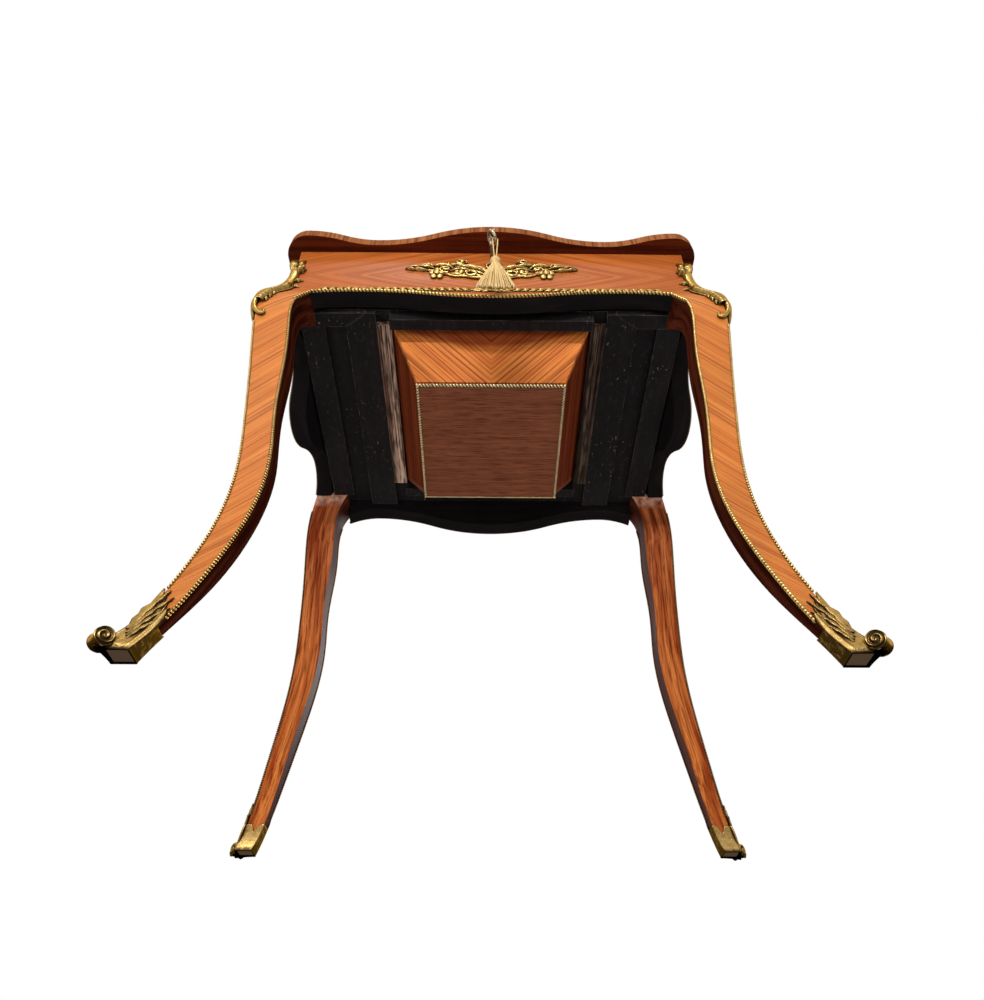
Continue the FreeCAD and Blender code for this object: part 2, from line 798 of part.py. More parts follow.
def make_cord():
    """Two straight strands that close up at the tassel's head, and the turn over the bow's wire."""
    turn = s.bow_wire * math.sqrt(2) + s.cord_gap + s.cord_radius
    foot = s.cord_gap + s.cord_radius
    body = new_body("tassel_cord")
    spine = new_sketch(body, "XZ_Plane")
    reach = math.hypot(foot.value, s.cord_drop.value)
    swing = math.acos(turn.value / reach) - math.atan2(s.cord_drop.value, foot.value)
    right = FreeCAD.Vector(turn.value * math.cos(swing), turn.value * math.sin(swing), 0)
    left = FreeCAD.Vector(-right.x, right.y, 0)
    up = spine.addGeometry(Part.LineSegment(FreeCAD.Vector(-foot.value, -s.cord_drop.value, 0), left))
    loop = Part.Circle(FreeCAD.Vector(), FreeCAD.Vector(0, 0, 1), turn.value)
    over = spine.addGeometry(Part.ArcOfCircle(loop, swing, math.pi - swing))
    down = spine.addGeometry(Part.LineSegment(right, FreeCAD.Vector(foot.value, -s.cord_drop.value, 0)))
    hold(spine, up, 1, (-foot, -s.cord_drop))
    hold(spine, down, 2, (foot, -s.cord_drop))
    spine.addConstraint(Sketcher.Constraint("Coincident", over, 3, -1, 1))
    round_size = spine.addConstraint(Sketcher.Constraint("Radius", over, turn.value))
    bind(spine, f"Constraints[{round_size}]", turn)
    spine.addConstraint(Sketcher.Constraint("Tangent", up, 2, over, 2))
    spine.addConstraint(Sketcher.Constraint("Tangent", over, 1, down, 1))
    section = new_sketch(body, "XY_Plane", -s.cord_drop)
    outline(section, cord_section(-foot))
    pipe = body.newObject("PartDesign::AdditivePipe", "tassel_cord_pipe")
    pipe.Profile = section
    pipe.Spine = (spine, ["Edge1", "Edge2", "Edge3"])
    move(body, (hang_x, bow_middle, hang_z))
    return body


def make_head():
    """Threads bound into a ball: one outline seen from as many sides as the ball has."""
    band_top = (s.head_band - s.head_height) / 2
    band_bottom = -((s.head_band + s.head_height) / 2)
    right = [
        (s.neck_radius, -s.head_height),
        (s.head_radius, band_bottom),
        (s.head_radius, band_top),
        (s.neck_radius, ZERO),
    ]
    left = [(-radius, height) for radius, height in reversed(right)]
    views = []
    for turn in range(TASSEL_SIDES // 2):
        view = prism(f"head_{turn}", "XZ_Plane", right + left, s.head_height * 2)
        turned = FreeCAD.Rotation(UPRIGHT, 360 * turn / TASSEL_SIDES)
        view.Placement = FreeCAD.Placement(FreeCAD.Vector(), turned)
        move(view, (hang_x, bow_middle, head_top))
        views.append(view)
    return common("head_bundle", *views)


def make_skirt():
    """Loose threads that hang as a fan, wide across the front and shallow from front to back."""
    views = []
    for plane, hem in (("XZ_Plane", s.skirt_half_width), ("YZ_Plane", s.skirt_half_depth)):
        view = prism(f"skirt_{plane}", plane, [
            (hem, -s.skirt_length),
            (s.neck_radius, ZERO),
            (-s.neck_radius, ZERO),
            (-hem, -s.skirt_length),
        ], s.skirt_length * 2)
        move(view, (hang_x, bow_middle, head_bottom))
        views.append(view)
    return common("skirt_fan", *views)


node(make_cord(), "tassel_cord")
node(make_head(), "tassel_head")
node(make_skirt(), "tassel_skirt")


# Mounts on the front frieze, bent to its swelling face

def frieze_mount(name, corners):
    """A metal plate of one outline laid on the front face."""
    section = skin_up(half_depth + s.mount_thickness) + skin_down(half_depth)
    skin = prism(f"{name}_skin", "YZ_Plane", section, post_x * 2)
    return common(f"{name}_plate", skin, prism(f"{name}_outline", "XZ_Plane", corners, s.case_depth * 2))


strip_middle = s.leg_height + s.strip_lift
strip_low = strip_middle - s.strip_width / 2
strip_high = strip_middle + s.strip_width / 2
strip_end = post_x - s.strip_end_gap
rose = s.strip_rose_radius
rose_half = (rose * rose - s.strip_width * s.strip_width / 4).root()
node(frieze_mount("strip", [
    (-strip_end, strip_low),
    (-rose_half, strip_low, rose, 1),
    (rose_half, strip_low),
    (strip_end, strip_low),
    (strip_end, strip_high),
    (rose_half, strip_high, rose, 1),
    (-rose_half, strip_high),
    (-strip_end, strip_high),
]), "frieze_strip")

plate_low = key_height - s.escutcheon_bottom_drop
plate_high = key_height + s.escutcheon_top_rise
wing_height = key_height - s.escutcheon_wing_drop
body_low = key_height - s.escutcheon_body_bottom_drop
body_high = key_height - s.escutcheon_body_top_drop
escutcheon_plate = frieze_mount("escutcheon", [
    (ZERO, plate_low, s.escutcheon_body_bow, 1),
    (s.escutcheon_body, body_low, s.escutcheon_wing_bow, -1),
    (s.escutcheon_wing, wing_height, s.escutcheon_wing_bow, -1),
    (s.escutcheon_body, body_high, s.escutcheon_body_bow, 1),
    (ZERO, plate_high, s.escutcheon_body_bow, 1),
    (-s.escutcheon_body, body_high, s.escutcheon_wing_bow, -1),
    (-s.escutcheon_wing, wing_height, s.escutcheon_wing_bow, -1),
    (-s.escutcheon_body, body_low, s.escutcheon_body_bow, 1),
])
node(cut("escutcheon_whole", escutcheon_plate, through_keyhole("escutcheon_keyhole")), "escutcheon")


# Hinges at the back, let into panel and lid

hinge_y = half_depth + s.hinge_setback
hinge_z = (case_top + lid_bottom) / 2
hinge_low_x = -s.hinge_place - s.hinge_length / 2
hinge_high_x = -s.hinge_place + s.hinge_length / 2
middle_low_x = -s.hinge_place - s.knuckle_middle / 2
middle_high_x = -s.hinge_place + s.knuckle_middle / 2
leaf_front = half_depth - s.hinge_leaf_depth
leaf_back = hinge_y - s.knuckle_radius - s.leaf_clearance


def make_leaf(name, low, high, spans):
    """A hinge leaf with a tab and a knuckle on each of its spans, bored for the pin."""
    parts = [board(f"{name}_plate", (hinge_low_x, hinge_high_x), (leaf_front, leaf_back), (low, high))]
    for index, (start, stop) in enumerate(spans):
        parts.append(board(f"{name}_tab{index}", (start, stop), (leaf_back, hinge_y), (low, high)))
        parts.append(rod(f"{name}_knuckle{index}", (start, hinge_y, hinge_z), s.knuckle_radius, stop - start,
                         TOWARDS_X))
    bore_radius = s.pin_radius + s.pin_clearance
    bore = rod(f"{name}_bore", (hinge_low_x, hinge_y, hinge_z), bore_radius, s.hinge_length, TOWARDS_X)
    return cut(f"{name}_whole", fuse(f"{name}_blank", *parts), bore)


case_spans = ((hinge_low_x, middle_low_x - s.knuckle_gap), (middle_high_x + s.knuckle_gap, hinge_high_x))
left_and_right("hinge_case_leaf", make_leaf("case_leaf", case_top - s.hinge_leaf, case_top, case_spans))
left_and_right("hinge_lid_leaf", make_leaf("lid_leaf", lid_bottom, lid_bottom + s.hinge_leaf,
                                           ((middle_low_x, middle_high_x),)))
left_and_right("hinge_pin", rod("hinge_pin", (hinge_low_x - s.pin_overhang, hinge_y, hinge_z), s.pin_radius,
                                s.hinge_length + s.pin_overhang * 2, TOWARDS_X))

case_recess = board("case_leaf_recess", (hinge_low_x, hinge_high_x), (leaf_front, hinge_y),
                    (case_top - s.hinge_leaf, lid_bottom))
back_panel = mirrored("back_panel_turned", make_panel("back_panel", *back_shape), ALONG)
node(cut("back_panel_whole", back_panel, case_recess, mirrored("case_recess_right", case_recess, ACROSS)),
     "panel_back")


# Lid: a serpentine board with an eased upper edge, cut for the hinges and the link plate

def ogee(start, finish, across, step, side):
    """Two equal arcs between turning points that lie a step apart, level with the edge at both.
    Across is the way that the edge runs, and side the way that the first arc bends."""
    run = finish[across] - start[across]
    radius = (run * run + step * step) / (step * 4)
    middle = ((start[0] + finish[0]) / 2, (start[1] + finish[1]) / 2)
    return [(start, radius, side), (middle, radius, -side)]


def lid_quarter():
    """Corners and bends of the outline from the middle of the front to the middle of the right side."""
    corner_x = half_width + s.lid_side_overhang
    corner_y = half_depth + s.lid_front_overhang
    dip_x = corner_x - s.lid_side_dip
    dip_y = corner_y - s.lid_front_dip
    front_middle = (ZERO, -(dip_y + s.lid_front_bow))
    front_dip = (half_width - s.lid_front_dip_inset, -dip_y)
    front_corner = (corner_x - s.lid_corner_radius, -corner_y)
    side_corner = (corner_x, -(corner_y - s.lid_corner_radius))
    side_dip = (dip_x, -(half_depth - s.lid_side_dip_inset))
    side_middle = (dip_x + s.lid_side_bow, ZERO)
    bends = ogee(front_middle, front_dip, 0, s.lid_front_bow, 1)
    bends += ogee(front_dip, front_corner, 0, s.lid_front_dip, -1)
    bends.append((front_corner, s.lid_corner_radius, 1))
    bends += ogee(side_corner, side_dip, 1, s.lid_side_dip, 1)
    bends += ogee(side_dip, side_middle, 1, s.lid_side_bow, -1)
    return bends, side_middle


def lid_outline():
    bends, side_middle = lid_quarter()
    right = [place + (radius, side) for place, radius, side in bends]
    back = [side_middle] + [place for place, _, _ in bends[:0:-1]]
    for place, (_, radius, side) in zip(back, bends[::-1]):
        flipped = place[1] if place[1] is ZERO else -place[1]
        right.append((place[0], flipped, radius, side))
    left = []
    for corner in right:
        left.append((corner[0] if corner[0] is ZERO else -corner[0],
                     corner[1] if corner[1] is ZERO else -corner[1]) + corner[2:])
    return right + left


def make_lid():
    lid = slab("lid", lid_outline(), lid_bottom, lid_bottom + s.lid_thickness)
    doc.recompute()
    plain = lid.Tip
    top = (lid_bottom + s.lid_thickness).value
    upper = []
    for index, edge in enumerate(plain.Shape.Edges, start=1):
        if all(abs(corner.Z - top) < 0.001 for corner in edge.Vertexes):
            upper.append(f"Edge{index}")
    bevel = lid.newObject("PartDesign::Chamfer", "lid_edge")
    bevel.Base = (plain, upper)
    bind(bevel, "Size", s.lid_bevel)
    room = s.knuckle_radius + s.leaf_clearance * 2
    leaf_pocket = board("lid_leaf_pocket",
                        (hinge_low_x - s.leaf_clearance, hinge_high_x + s.leaf_clearance),
                        (leaf_front - s.leaf_clearance, hinge_y), (hinge_z, lid_bottom + s.hinge_leaf))
    knuckle_pocket = board("lid_knuckle_pocket",
                           (hinge_low_x - s.pin_overhang * 2, hinge_high_x + s.pin_overhang * 2),
                           (hinge_y - room, hinge_y + room), (hinge_z, hinge_z + room))
    pockets = fuse("lid_pockets", leaf_pocket, knuckle_pocket)
    link_pocket = board("lid_link_pocket", *link_room, (hinge_z, link_top))
    return cut("lid_whole", lid, pockets, mirrored("lid_pockets_right", pockets, ACROSS), link_pocket)


node(make_lid(), "lid")


# Floors and framing of the case bottom

inner_x = half_width + high_swell(floor_top) - s.panel_thickness - s.fit_gap
inner_y = half_depth + high_swell(floor_top) - s.panel_thickness - s.fit_gap
mouth_x = half_width - s.well_side_room
mouth_front = s.well_front_room - half_depth
mouth_back = half_depth - s.well_back_room
floor_x = mouth_x - s.well_wall
frame_level = (s.leg_height, floor_bottom)
rail_x = mouth_x + s.well_rail_width
bearer_x = rail_x + s.bearer_width

left_and_right("floor", slab("floor", [
    (-inner_x, -post_y),
    (-post_x, -post_y),
    (-post_x, -inner_y),
    (-floor_x, -inner_y),
    (-floor_x, inner_y),
    (-post_x, inner_y),
    (-post_x, post_y),
    (-inner_x, post_y),
], floor_bottom, floor_top))
node(board("floor_front_board", (-floor_x, floor_x), (-inner_y, mouth_front + s.well_wall),
           (floor_bottom, floor_top)), "floor_front")
node(board("floor_back_board", (-floor_x, floor_x), (mouth_back - s.well_wall, inner_y),
           (floor_bottom, floor_top)), "floor_back")
left_and_right("side_board", board("side_board", (-inner_x, -(bearer_x + s.bearer_gap)), (-post_y, post_y),
                                   frame_level))
left_and_right("bearer", slab("bearer", [
    (-(bearer_x - s.block_depth), -inner_y),
    (-rail_x, -inner_y),
    (-rail_x, inner_y),
    (-bearer_x, inner_y),
    (-bearer_x, -post_y),
], *frame_level))
left_and_right("well_rail", board("well_rail", (-rail_x, -mouth_x), (mouth_front, mouth_back), frame_level))
left_and_right("corner_block", slab("corner_block", [
    (-post_x, -inner_y),
    (-(bearer_x + s.block_gap - s.block_depth), -inner_y),
    (-(bearer_x + s.block_gap), -post_y),
    (-post_x, -post_y),
], *frame_level))
bar_level = (s.leg_height - s.bar_drop, floor_bottom)
bar_front = mouth_front - s.fit_gap
bar_back = mouth_back + s.fit_gap
node(board("front_bar_board", (-mouth_x, mouth_x), (bar_front - s.bar_thickness, bar_front), bar_level),
     "front_bar")
node(board("rear_bar_board", (-mouth_x, mouth_x), (bar_back, bar_back + s.bar_thickness), bar_level),
     "rear_bar")


# Well: sloping walls between floor and foot, a bottom and a gilt bead round its edge

well_foot = s.leg_height - s.well_drop
foot_x = mouth_x - s.well_side_lean
foot_front = mouth_front + s.well_end_lean
foot_back = mouth_back - s.well_end_lean


def slope(low, high, low_other, high_other):
    """Upright outline between two sloping lines, each given at the foot and at the mouth."""
    return [(low, well_foot), (low_other, well_foot), (high_other, floor_bottom), (high, floor_bottom)]


def well_wall(name, plane, section, across, outline_across):
    """A wall: its slanting section, trimmed by the outline seen square to it."""
    span = s.case_width + s.case_depth
    return common(f"well_{name}_wall", prism(f"well_{name}_section", plane, section, span),
                  prism(f"well_{name}_trim", across, outline_across, span))


face_outline = slope(-foot_x, -mouth_x, foot_x, mouth_x)
end_outline = slope(foot_front + s.well_wall, mouth_front + s.well_wall,
                    foot_back - s.well_wall, mouth_back - s.well_wall)
node(well_wall("front", "YZ_Plane",
               slope(foot_front, mouth_front, foot_front + s.well_wall, mouth_front + s.well_wall),
               "XZ_Plane", face_outline), "well_front")
node(well_wall("back", "YZ_Plane",
               slope(foot_back - s.well_wall, mouth_back - s.well_wall, foot_back, mouth_back),
               "XZ_Plane", face_outline), "well_back")
left_and_right("well", well_wall("left", "XZ_Plane",
                                 slope(-foot_x, -mouth_x, s.well_wall - foot_x, s.well_wall - mouth_x),
                                 "YZ_Plane", end_outline))

bottom_level = (well_foot - s.well_bottom_thickness, well_foot)
bead_level = (bottom_level[0], bottom_level[0] + s.well_bead_height)
bottom_width = (s.well_bead - foot_x, foot_x - s.well_bead)
bottom_depth = (foot_front + s.well_bead, foot_back - s.well_bead)
node(board("well_bottom_board", bottom_width, bottom_depth, bottom_level), "well_bottom")
node(cut("well_bead_ring", board("well_bead_outer", (-foot_x, foot_x), (foot_front, foot_back), bead_level),
         board("well_bead_inner", bottom_width, bottom_depth, bead_level)), "well_bead")


# Partitions beside the well

partition_y = half_depth - s.waist - s.panel_thickness - s.fit_gap
left_and_right("partition", board("partition", (-mouth_x, s.partition_thickness - mouth_x),
                                  (-partition_y, partition_y), (floor_top, case_top - s.partition_drop)))


# Check every object, then write each piece to its own file

doc.recompute()
faults = [thing.Name for thing in doc.Objects if {"Invalid", "Error"} & set(thing.State)]
for piece in nodes:
    shape = piece.Shape
    if shape.isNull() or not shape.isValid() or not shape.Solids:
        faults.append(piece.Label)
if faults:
    raise RuntimeError(f"These pieces failed: {faults}")
if len({piece.Label for piece in nodes}) != len(nodes):
    raise RuntimeError("Two pieces share a name")
os.makedirs("parts", exist_ok=True)
for piece in nodes:
    piece.Shape.exportStep(os.path.join("parts", f"{piece.Label}.step"))
print(f"{len(nodes)} pieces written")
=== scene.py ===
import bpy
import math
import random
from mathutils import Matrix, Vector


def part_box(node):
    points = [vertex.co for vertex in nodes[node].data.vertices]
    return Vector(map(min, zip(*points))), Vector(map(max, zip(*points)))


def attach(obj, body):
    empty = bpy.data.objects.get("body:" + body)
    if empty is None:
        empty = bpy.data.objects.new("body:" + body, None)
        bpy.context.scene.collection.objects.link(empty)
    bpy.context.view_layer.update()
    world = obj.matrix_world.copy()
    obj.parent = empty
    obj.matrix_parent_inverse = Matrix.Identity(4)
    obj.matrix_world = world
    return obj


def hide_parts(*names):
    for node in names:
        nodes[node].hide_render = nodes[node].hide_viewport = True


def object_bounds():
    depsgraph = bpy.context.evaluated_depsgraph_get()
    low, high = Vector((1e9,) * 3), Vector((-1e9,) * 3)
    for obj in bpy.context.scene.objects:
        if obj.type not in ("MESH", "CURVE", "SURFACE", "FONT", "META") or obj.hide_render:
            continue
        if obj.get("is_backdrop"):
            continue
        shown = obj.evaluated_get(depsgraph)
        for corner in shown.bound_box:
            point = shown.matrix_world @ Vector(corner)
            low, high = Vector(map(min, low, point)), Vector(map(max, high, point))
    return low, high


# Work table on cabriole legs with a swelling veneered case, a serpentine lid and a hanging well.
# Metres, +Z up, front towards -Y, the floor at zero.
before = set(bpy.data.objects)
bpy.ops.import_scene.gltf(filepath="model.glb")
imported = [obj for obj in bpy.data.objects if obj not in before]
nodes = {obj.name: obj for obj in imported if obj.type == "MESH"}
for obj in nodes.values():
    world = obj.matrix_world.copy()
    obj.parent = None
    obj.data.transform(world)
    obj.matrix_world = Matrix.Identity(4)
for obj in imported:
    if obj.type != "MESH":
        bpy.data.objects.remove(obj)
cad_low, cad_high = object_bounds()


# Legs: square cabriole legs that run up as corner posts. Their outer faces are veneered with the grain
# aslant, mirrored from left to right; the inner faces are plain wood with the grain along the leg, given
# much darker colours as painted shade. Each wood here has three colours: pale ground, deep ground and
# dark lines.
CORNERS = ("front_left", "front_right", "rear_left", "rear_right")
FRONT_WOOD = ((0.78, 0.27, 0.055, 1), (0.64, 0.18, 0.032, 1), (0.30, 0.06, 0.012, 1))
INSIDE_SHADED_WOOD = ((0.135, 0.029, 0.013, 1), (0.050, 0.009, 0.004, 1), (0.018, 0.004, 0.002, 1))
REAR_WOOD = ((0.98, 0.29, 0.068, 1), (0.44, 0.075, 0.016, 1), (0.10, 0.014, 0.005, 1))
FRIEZE_WOOD = ((0.60, 0.175, 0.036, 1), (0.47, 0.112, 0.021, 1), (0.22, 0.042, 0.009, 1))
# Painted shade on the rear legs: a darker tint that grows from the foot height to the top height.
REAR_SHADE = (0.74, 0.74, 1.0, 1)
REAR_SHADE_FOOT = 0.15
REAR_SHADE_TOP = 0.45
SCUFF = (0.92, 0.70, 0.56, 1)
SCUFF_FOOT = 0.553
SCUFF_TOP = 0.566
END_GRAIN = (0.80, 0.52, 0.32, 1)
HANDLED = (0.5, 0.45, 0.4, 1)
HANDLED_DARK = (0.04, 0.015, 0.008, 1)
LEG_TURN = math.radians(46)
FRIEZE_TURN = math.radians(20)
FRIEZE_MIDDLE = 0.652
POST_FOOT = 0.572
POST_BLEND = 0.02
OUTWARD = 0.3
POLISHED = {"Specular IOR Level": 0.0, "Coat Roughness": 0.42}
POLISH_DEPTH = 0.45
REAR_SHEEN = 0.5
UPPER_SHINE = 0.1
DULL_LINE = 0.688
DULL_BLEND = 0.006


def fill(tree, made, sockets):
    """Set sockets of a node, by name or number, to plain values or to links."""
    for socket, value in sockets.items():
        if isinstance(value, bpy.types.NodeSocket):
            tree.links.new(value, made.inputs[socket])
        else:
            made.inputs[socket].default_value = value
    return made


def add(tree, kind, sockets, **options):
    """Add a shader node with its sockets filled and its own settings made."""
    made = tree.nodes.new(f"ShaderNode{kind}")
    for option, value in options.items():
        setattr(made, option, value)
    return fill(tree, made, sockets)


def calc(tree, operation, *values):
    return add(tree, "Math", dict(enumerate(values)), operation=operation).outputs[0]


def times(tree, first, second):
    return calc(tree, "MULTIPLY", first, second)


def combine(tree, *axes):
    return add(tree, "CombineXYZ", dict(enumerate(axes))).outputs[0]


def stretch(tree, vector, scale):
    return add(tree, "VectorMath", {0: vector, 1: scale}, operation="MULTIPLY").outputs[0]


def mix(tree, factor, first, second, blend_type="MIX"):
    made = add(tree, "Mix", {0: factor, 6: first, 7: second}, data_type="RGBA", blend_type=blend_type)
    return made.outputs[2]


def spread(tree, value, low, high):
    """A value stretched so that low becomes 0 and high becomes 1."""
    return add(tree, "MapRange", {"Value": value, "From Min": low, "From Max": high}).outputs[0]


def noise(tree, vector, scale, detail, low, high):
    """Noise on a vector, stretched so that low becomes 0 and high becomes 1."""
    cloud = add(tree, "TexNoise", {"Vector": vector, "Scale": scale, "Detail": detail}).outputs["Fac"]
    return spread(tree, cloud, low, high)


def new_group(name, given, results):
    """An empty shader node group with named sockets. Returns its tree, what is given and its end node."""
    tree = bpy.data.node_groups.new(name, "ShaderNodeTree")
    for way, sockets in (("INPUT", given), ("OUTPUT", results)):
        for socket, kind in sockets.items():
            tree.interface.new_socket(socket, in_out=way, socket_type=f"NodeSocket{kind}")
    return tree, tree.nodes.new("NodeGroupInput").outputs, tree.nodes.new("NodeGroupOutput")


def place_group(tree, group, sockets):
    made = tree.nodes.new("ShaderNodeGroup")
    made.node_tree = group
    return fill(tree, made, sockets).outputs


# Wood cut along its grain: X of the vector runs along it. Broad bands, thin dark lines and pores.
given = {"Vector": "Vector", "Scale": "Vector", "Pale": "Color", "Deep": "Color", "Line": "Color",
         "Contrast": "Float"}
tree, start, end = new_group("Wood figure", given, {"Color": "Color", "Depth": "Float"})
stretched = stretch(tree, start["Vector"], start["Scale"])
band = noise(tree, stretched, 0.25, 2.0, 0.36, 0.64)
line = noise(tree, stretched, 1.0, 3.0, 0.50, 0.66)
pore = noise(tree, stretched, 3.3, 2.0, 0.48, 0.74)
ground = mix(tree, band, start["Pale"], start["Deep"])
lined = mix(tree, times(tree, line, start["Contrast"]), ground, start["Line"])
fine = times(tree, times(tree, pore, 0.55), start["Contrast"])
depth = calc(tree, "MAXIMUM", line, pore)
fill(tree, end, {"Color": mix(tree, fine, lined, start["Line"]), "Depth": depth})
wood_figure = tree

# Mirrors a pattern about a middle point and turns it, as veneer leaves are matched.
given = {"Vector": "Vector", "Middle": "Vector", "Turn": "Float"}
tree, start, end = new_group("Matched grain", given, {"Vector": "Vector"})
moved = add(tree, "VectorMath", {0: start["Vector"], 1: start["Middle"]}, operation="SUBTRACT").outputs[0]
folded = add(tree, "VectorMath", {0: moved}, operation="ABSOLUTE").outputs[0]
turned = add(tree, "VectorRotate", {"Vector": folded, "Angle": start["Turn"]}, rotation_type="Z_AXIS")
fill(tree, end, {"Vector": turned.outputs[0]})
matched_grain = tree

# Uneven polish and handling: a slow change of tone and small scuffs.
given = {"Vector": "Vector", "Color": "Color"}
tree, start, end = new_group("Wear", given, {"Color": "Color", "Dull": "Float"})
slow = noise(tree, start["Vector"], 14.0, 3.0, 0.3, 0.7)
scuff = noise(tree, start["Vector"], 160.0, 4.0, 0.62, 0.8)
toned = mix(tree, times(tree, slow, 0.3), start["Color"], HANDLED, "MULTIPLY")
worn = mix(tree, times(tree, scuff, 0.2), toned, HANDLED_DARK)
dull = calc(tree, "ADD", times(tree, slow, 0.12), times(tree, scuff, 0.2))
fill(tree, end, {"Color": worn, "Dull": dull})
wear = tree


def new_material(name, plain):
    """A material with its plain socket values set. Returns its tree and its shader."""
    material = bpy.data.materials.new(name)
    material.use_nodes = True
    tree = material.node_tree
    return tree, fill(tree, tree.nodes["Principled BSDF"], plain)


def place_on(tree, order):
    """Object coordinates with the axes in another order, the single axes of place and normal, the place."""
    point = add(tree, "TexCoord", {}).outputs
    split = add(tree, "SeparateXYZ", {0: point["Object"]}).outputs
    facing = add(tree, "SeparateXYZ", {0: point["Normal"]}).outputs
    vector = combine(tree, *[split["XYZ".index(axis)] for axis in order])
    return vector, split, facing, point["Object"]


def wood(tree, vector, scale, colours, contrast):
    """Wood with its grain along X of a vector, in pale, deep and line colours."""
    sockets = {"Vector": vector, "Scale": scale, "Contrast": contrast}
    sockets.update(zip(("Pale", "Deep", "Line"), colours))
    return place_group(tree, wood_figure, sockets)


def frieze_veneer(tree, vector):
    """Veneer in four leaves, matched round the middle of the frieze."""
    sockets = {"Vector": vector, "Middle": (0, FRIEZE_MIDDLE, 0), "Turn": FRIEZE_TURN}
    matched = place_group(tree, matched_grain, sockets)["Vector"]
    return wood(tree, matched, (4, 340, 4), FRIEZE_WOOD, 0.55)


def polish(tree, shader, colour, depth, place, rough, relief=0.00012):
    """Worn polish over a wood colour: tone, roughness and open grain."""
    worn = place_group(tree, wear, {"Vector": place, "Color": colour})
    bump = add(tree, "Bump", {"Strength": 0.5, "Distance": relief, "Height": depth}, invert=True)
    fill(tree, shader, {"Base Color": worn["Color"], "Roughness": calc(tree, "ADD", worn["Dull"], rough),
                        "Normal": bump.outputs[0]})


def coat(tree, shader, faces):
    """A polished coat on the faces that a mask picks out."""
    fill(tree, shader, {"Coat Weight": times(tree, faces, POLISH_DEPTH)})


def dull_above(tree, faces, height):
    """Take the shine off the strip of the case just under the lid, where nobody polishes it."""
    below = spread(tree, height, DULL_LINE + DULL_BLEND, DULL_LINE - DULL_BLEND)
    return times(tree, faces, calc(tree, "MULTIPLY_ADD", below, 1 - UPPER_SHINE, UPPER_SHINE))


def give(tree, *names):
    """Put a material on CAD nodes."""
    material = next(m for m in bpy.data.materials if m.node_tree == tree)
    for name in names:
        nodes[name].material_slots[0].material = material


def slice_box(node, axis, place):
    """Lowest and highest corner of the cut through a CAD node at a place on one axis."""
    mesh = nodes[node].data
    low = Vector((9, 9, 9))
    high = -low
    for face in mesh.polygons:
        corners = [mesh.vertices[index].co for index in face.vertices]
        for first, second in zip(corners, corners[1:] + corners[:1]):
            if (first[axis] - place) * (second[axis] - place) <= 0 and first[axis] != second[axis]:
                point = first.lerp(second, (place - first[axis]) / (second[axis] - first[axis]))
                low = Vector(map(min, low, point))
                high = Vector(map(max, high, point))
    return low, high


def steps(low, high, count):
    return [low + (high - low) * index / (count - 1) for index in range(count)]


def leg_drift(tree, height):
    """How far the middle of a leg lies out from its innermost place at a height, as a curve."""
    low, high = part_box("leg_front_left")
    middles = []
    for level in steps(low.z + 0.001, high.z - 0.001, 15):
        cut_low, cut_high = slice_box("leg_front_left", 2, level)
        middles.append(-(cut_low.x + cut_high.x) / 2)
    least, most = min(middles), max(middles)
    drift = add(tree, "FloatCurve", {"Value": spread(tree, height, low.z, high.z)})
    line = drift.mapping.curves[0]
    for index, middle in enumerate(middles):
        spot = (index / (len(middles) - 1), (middle - least) / (most - least))
        if index in (0, len(middles) - 1):
            line.points[0 if index == 0 else -1].location = spot
        else:
            line.points.new(*spot)
    drift.mapping.update()
    return times(tree, drift.outputs[0], most - least)


def outward(corner):
    """Which way a corner of the table lies, -1 or 1 along X and along Y."""
    return (-1 if corner.endswith("left") else 1, -1 if corner.startswith("front") else 1)


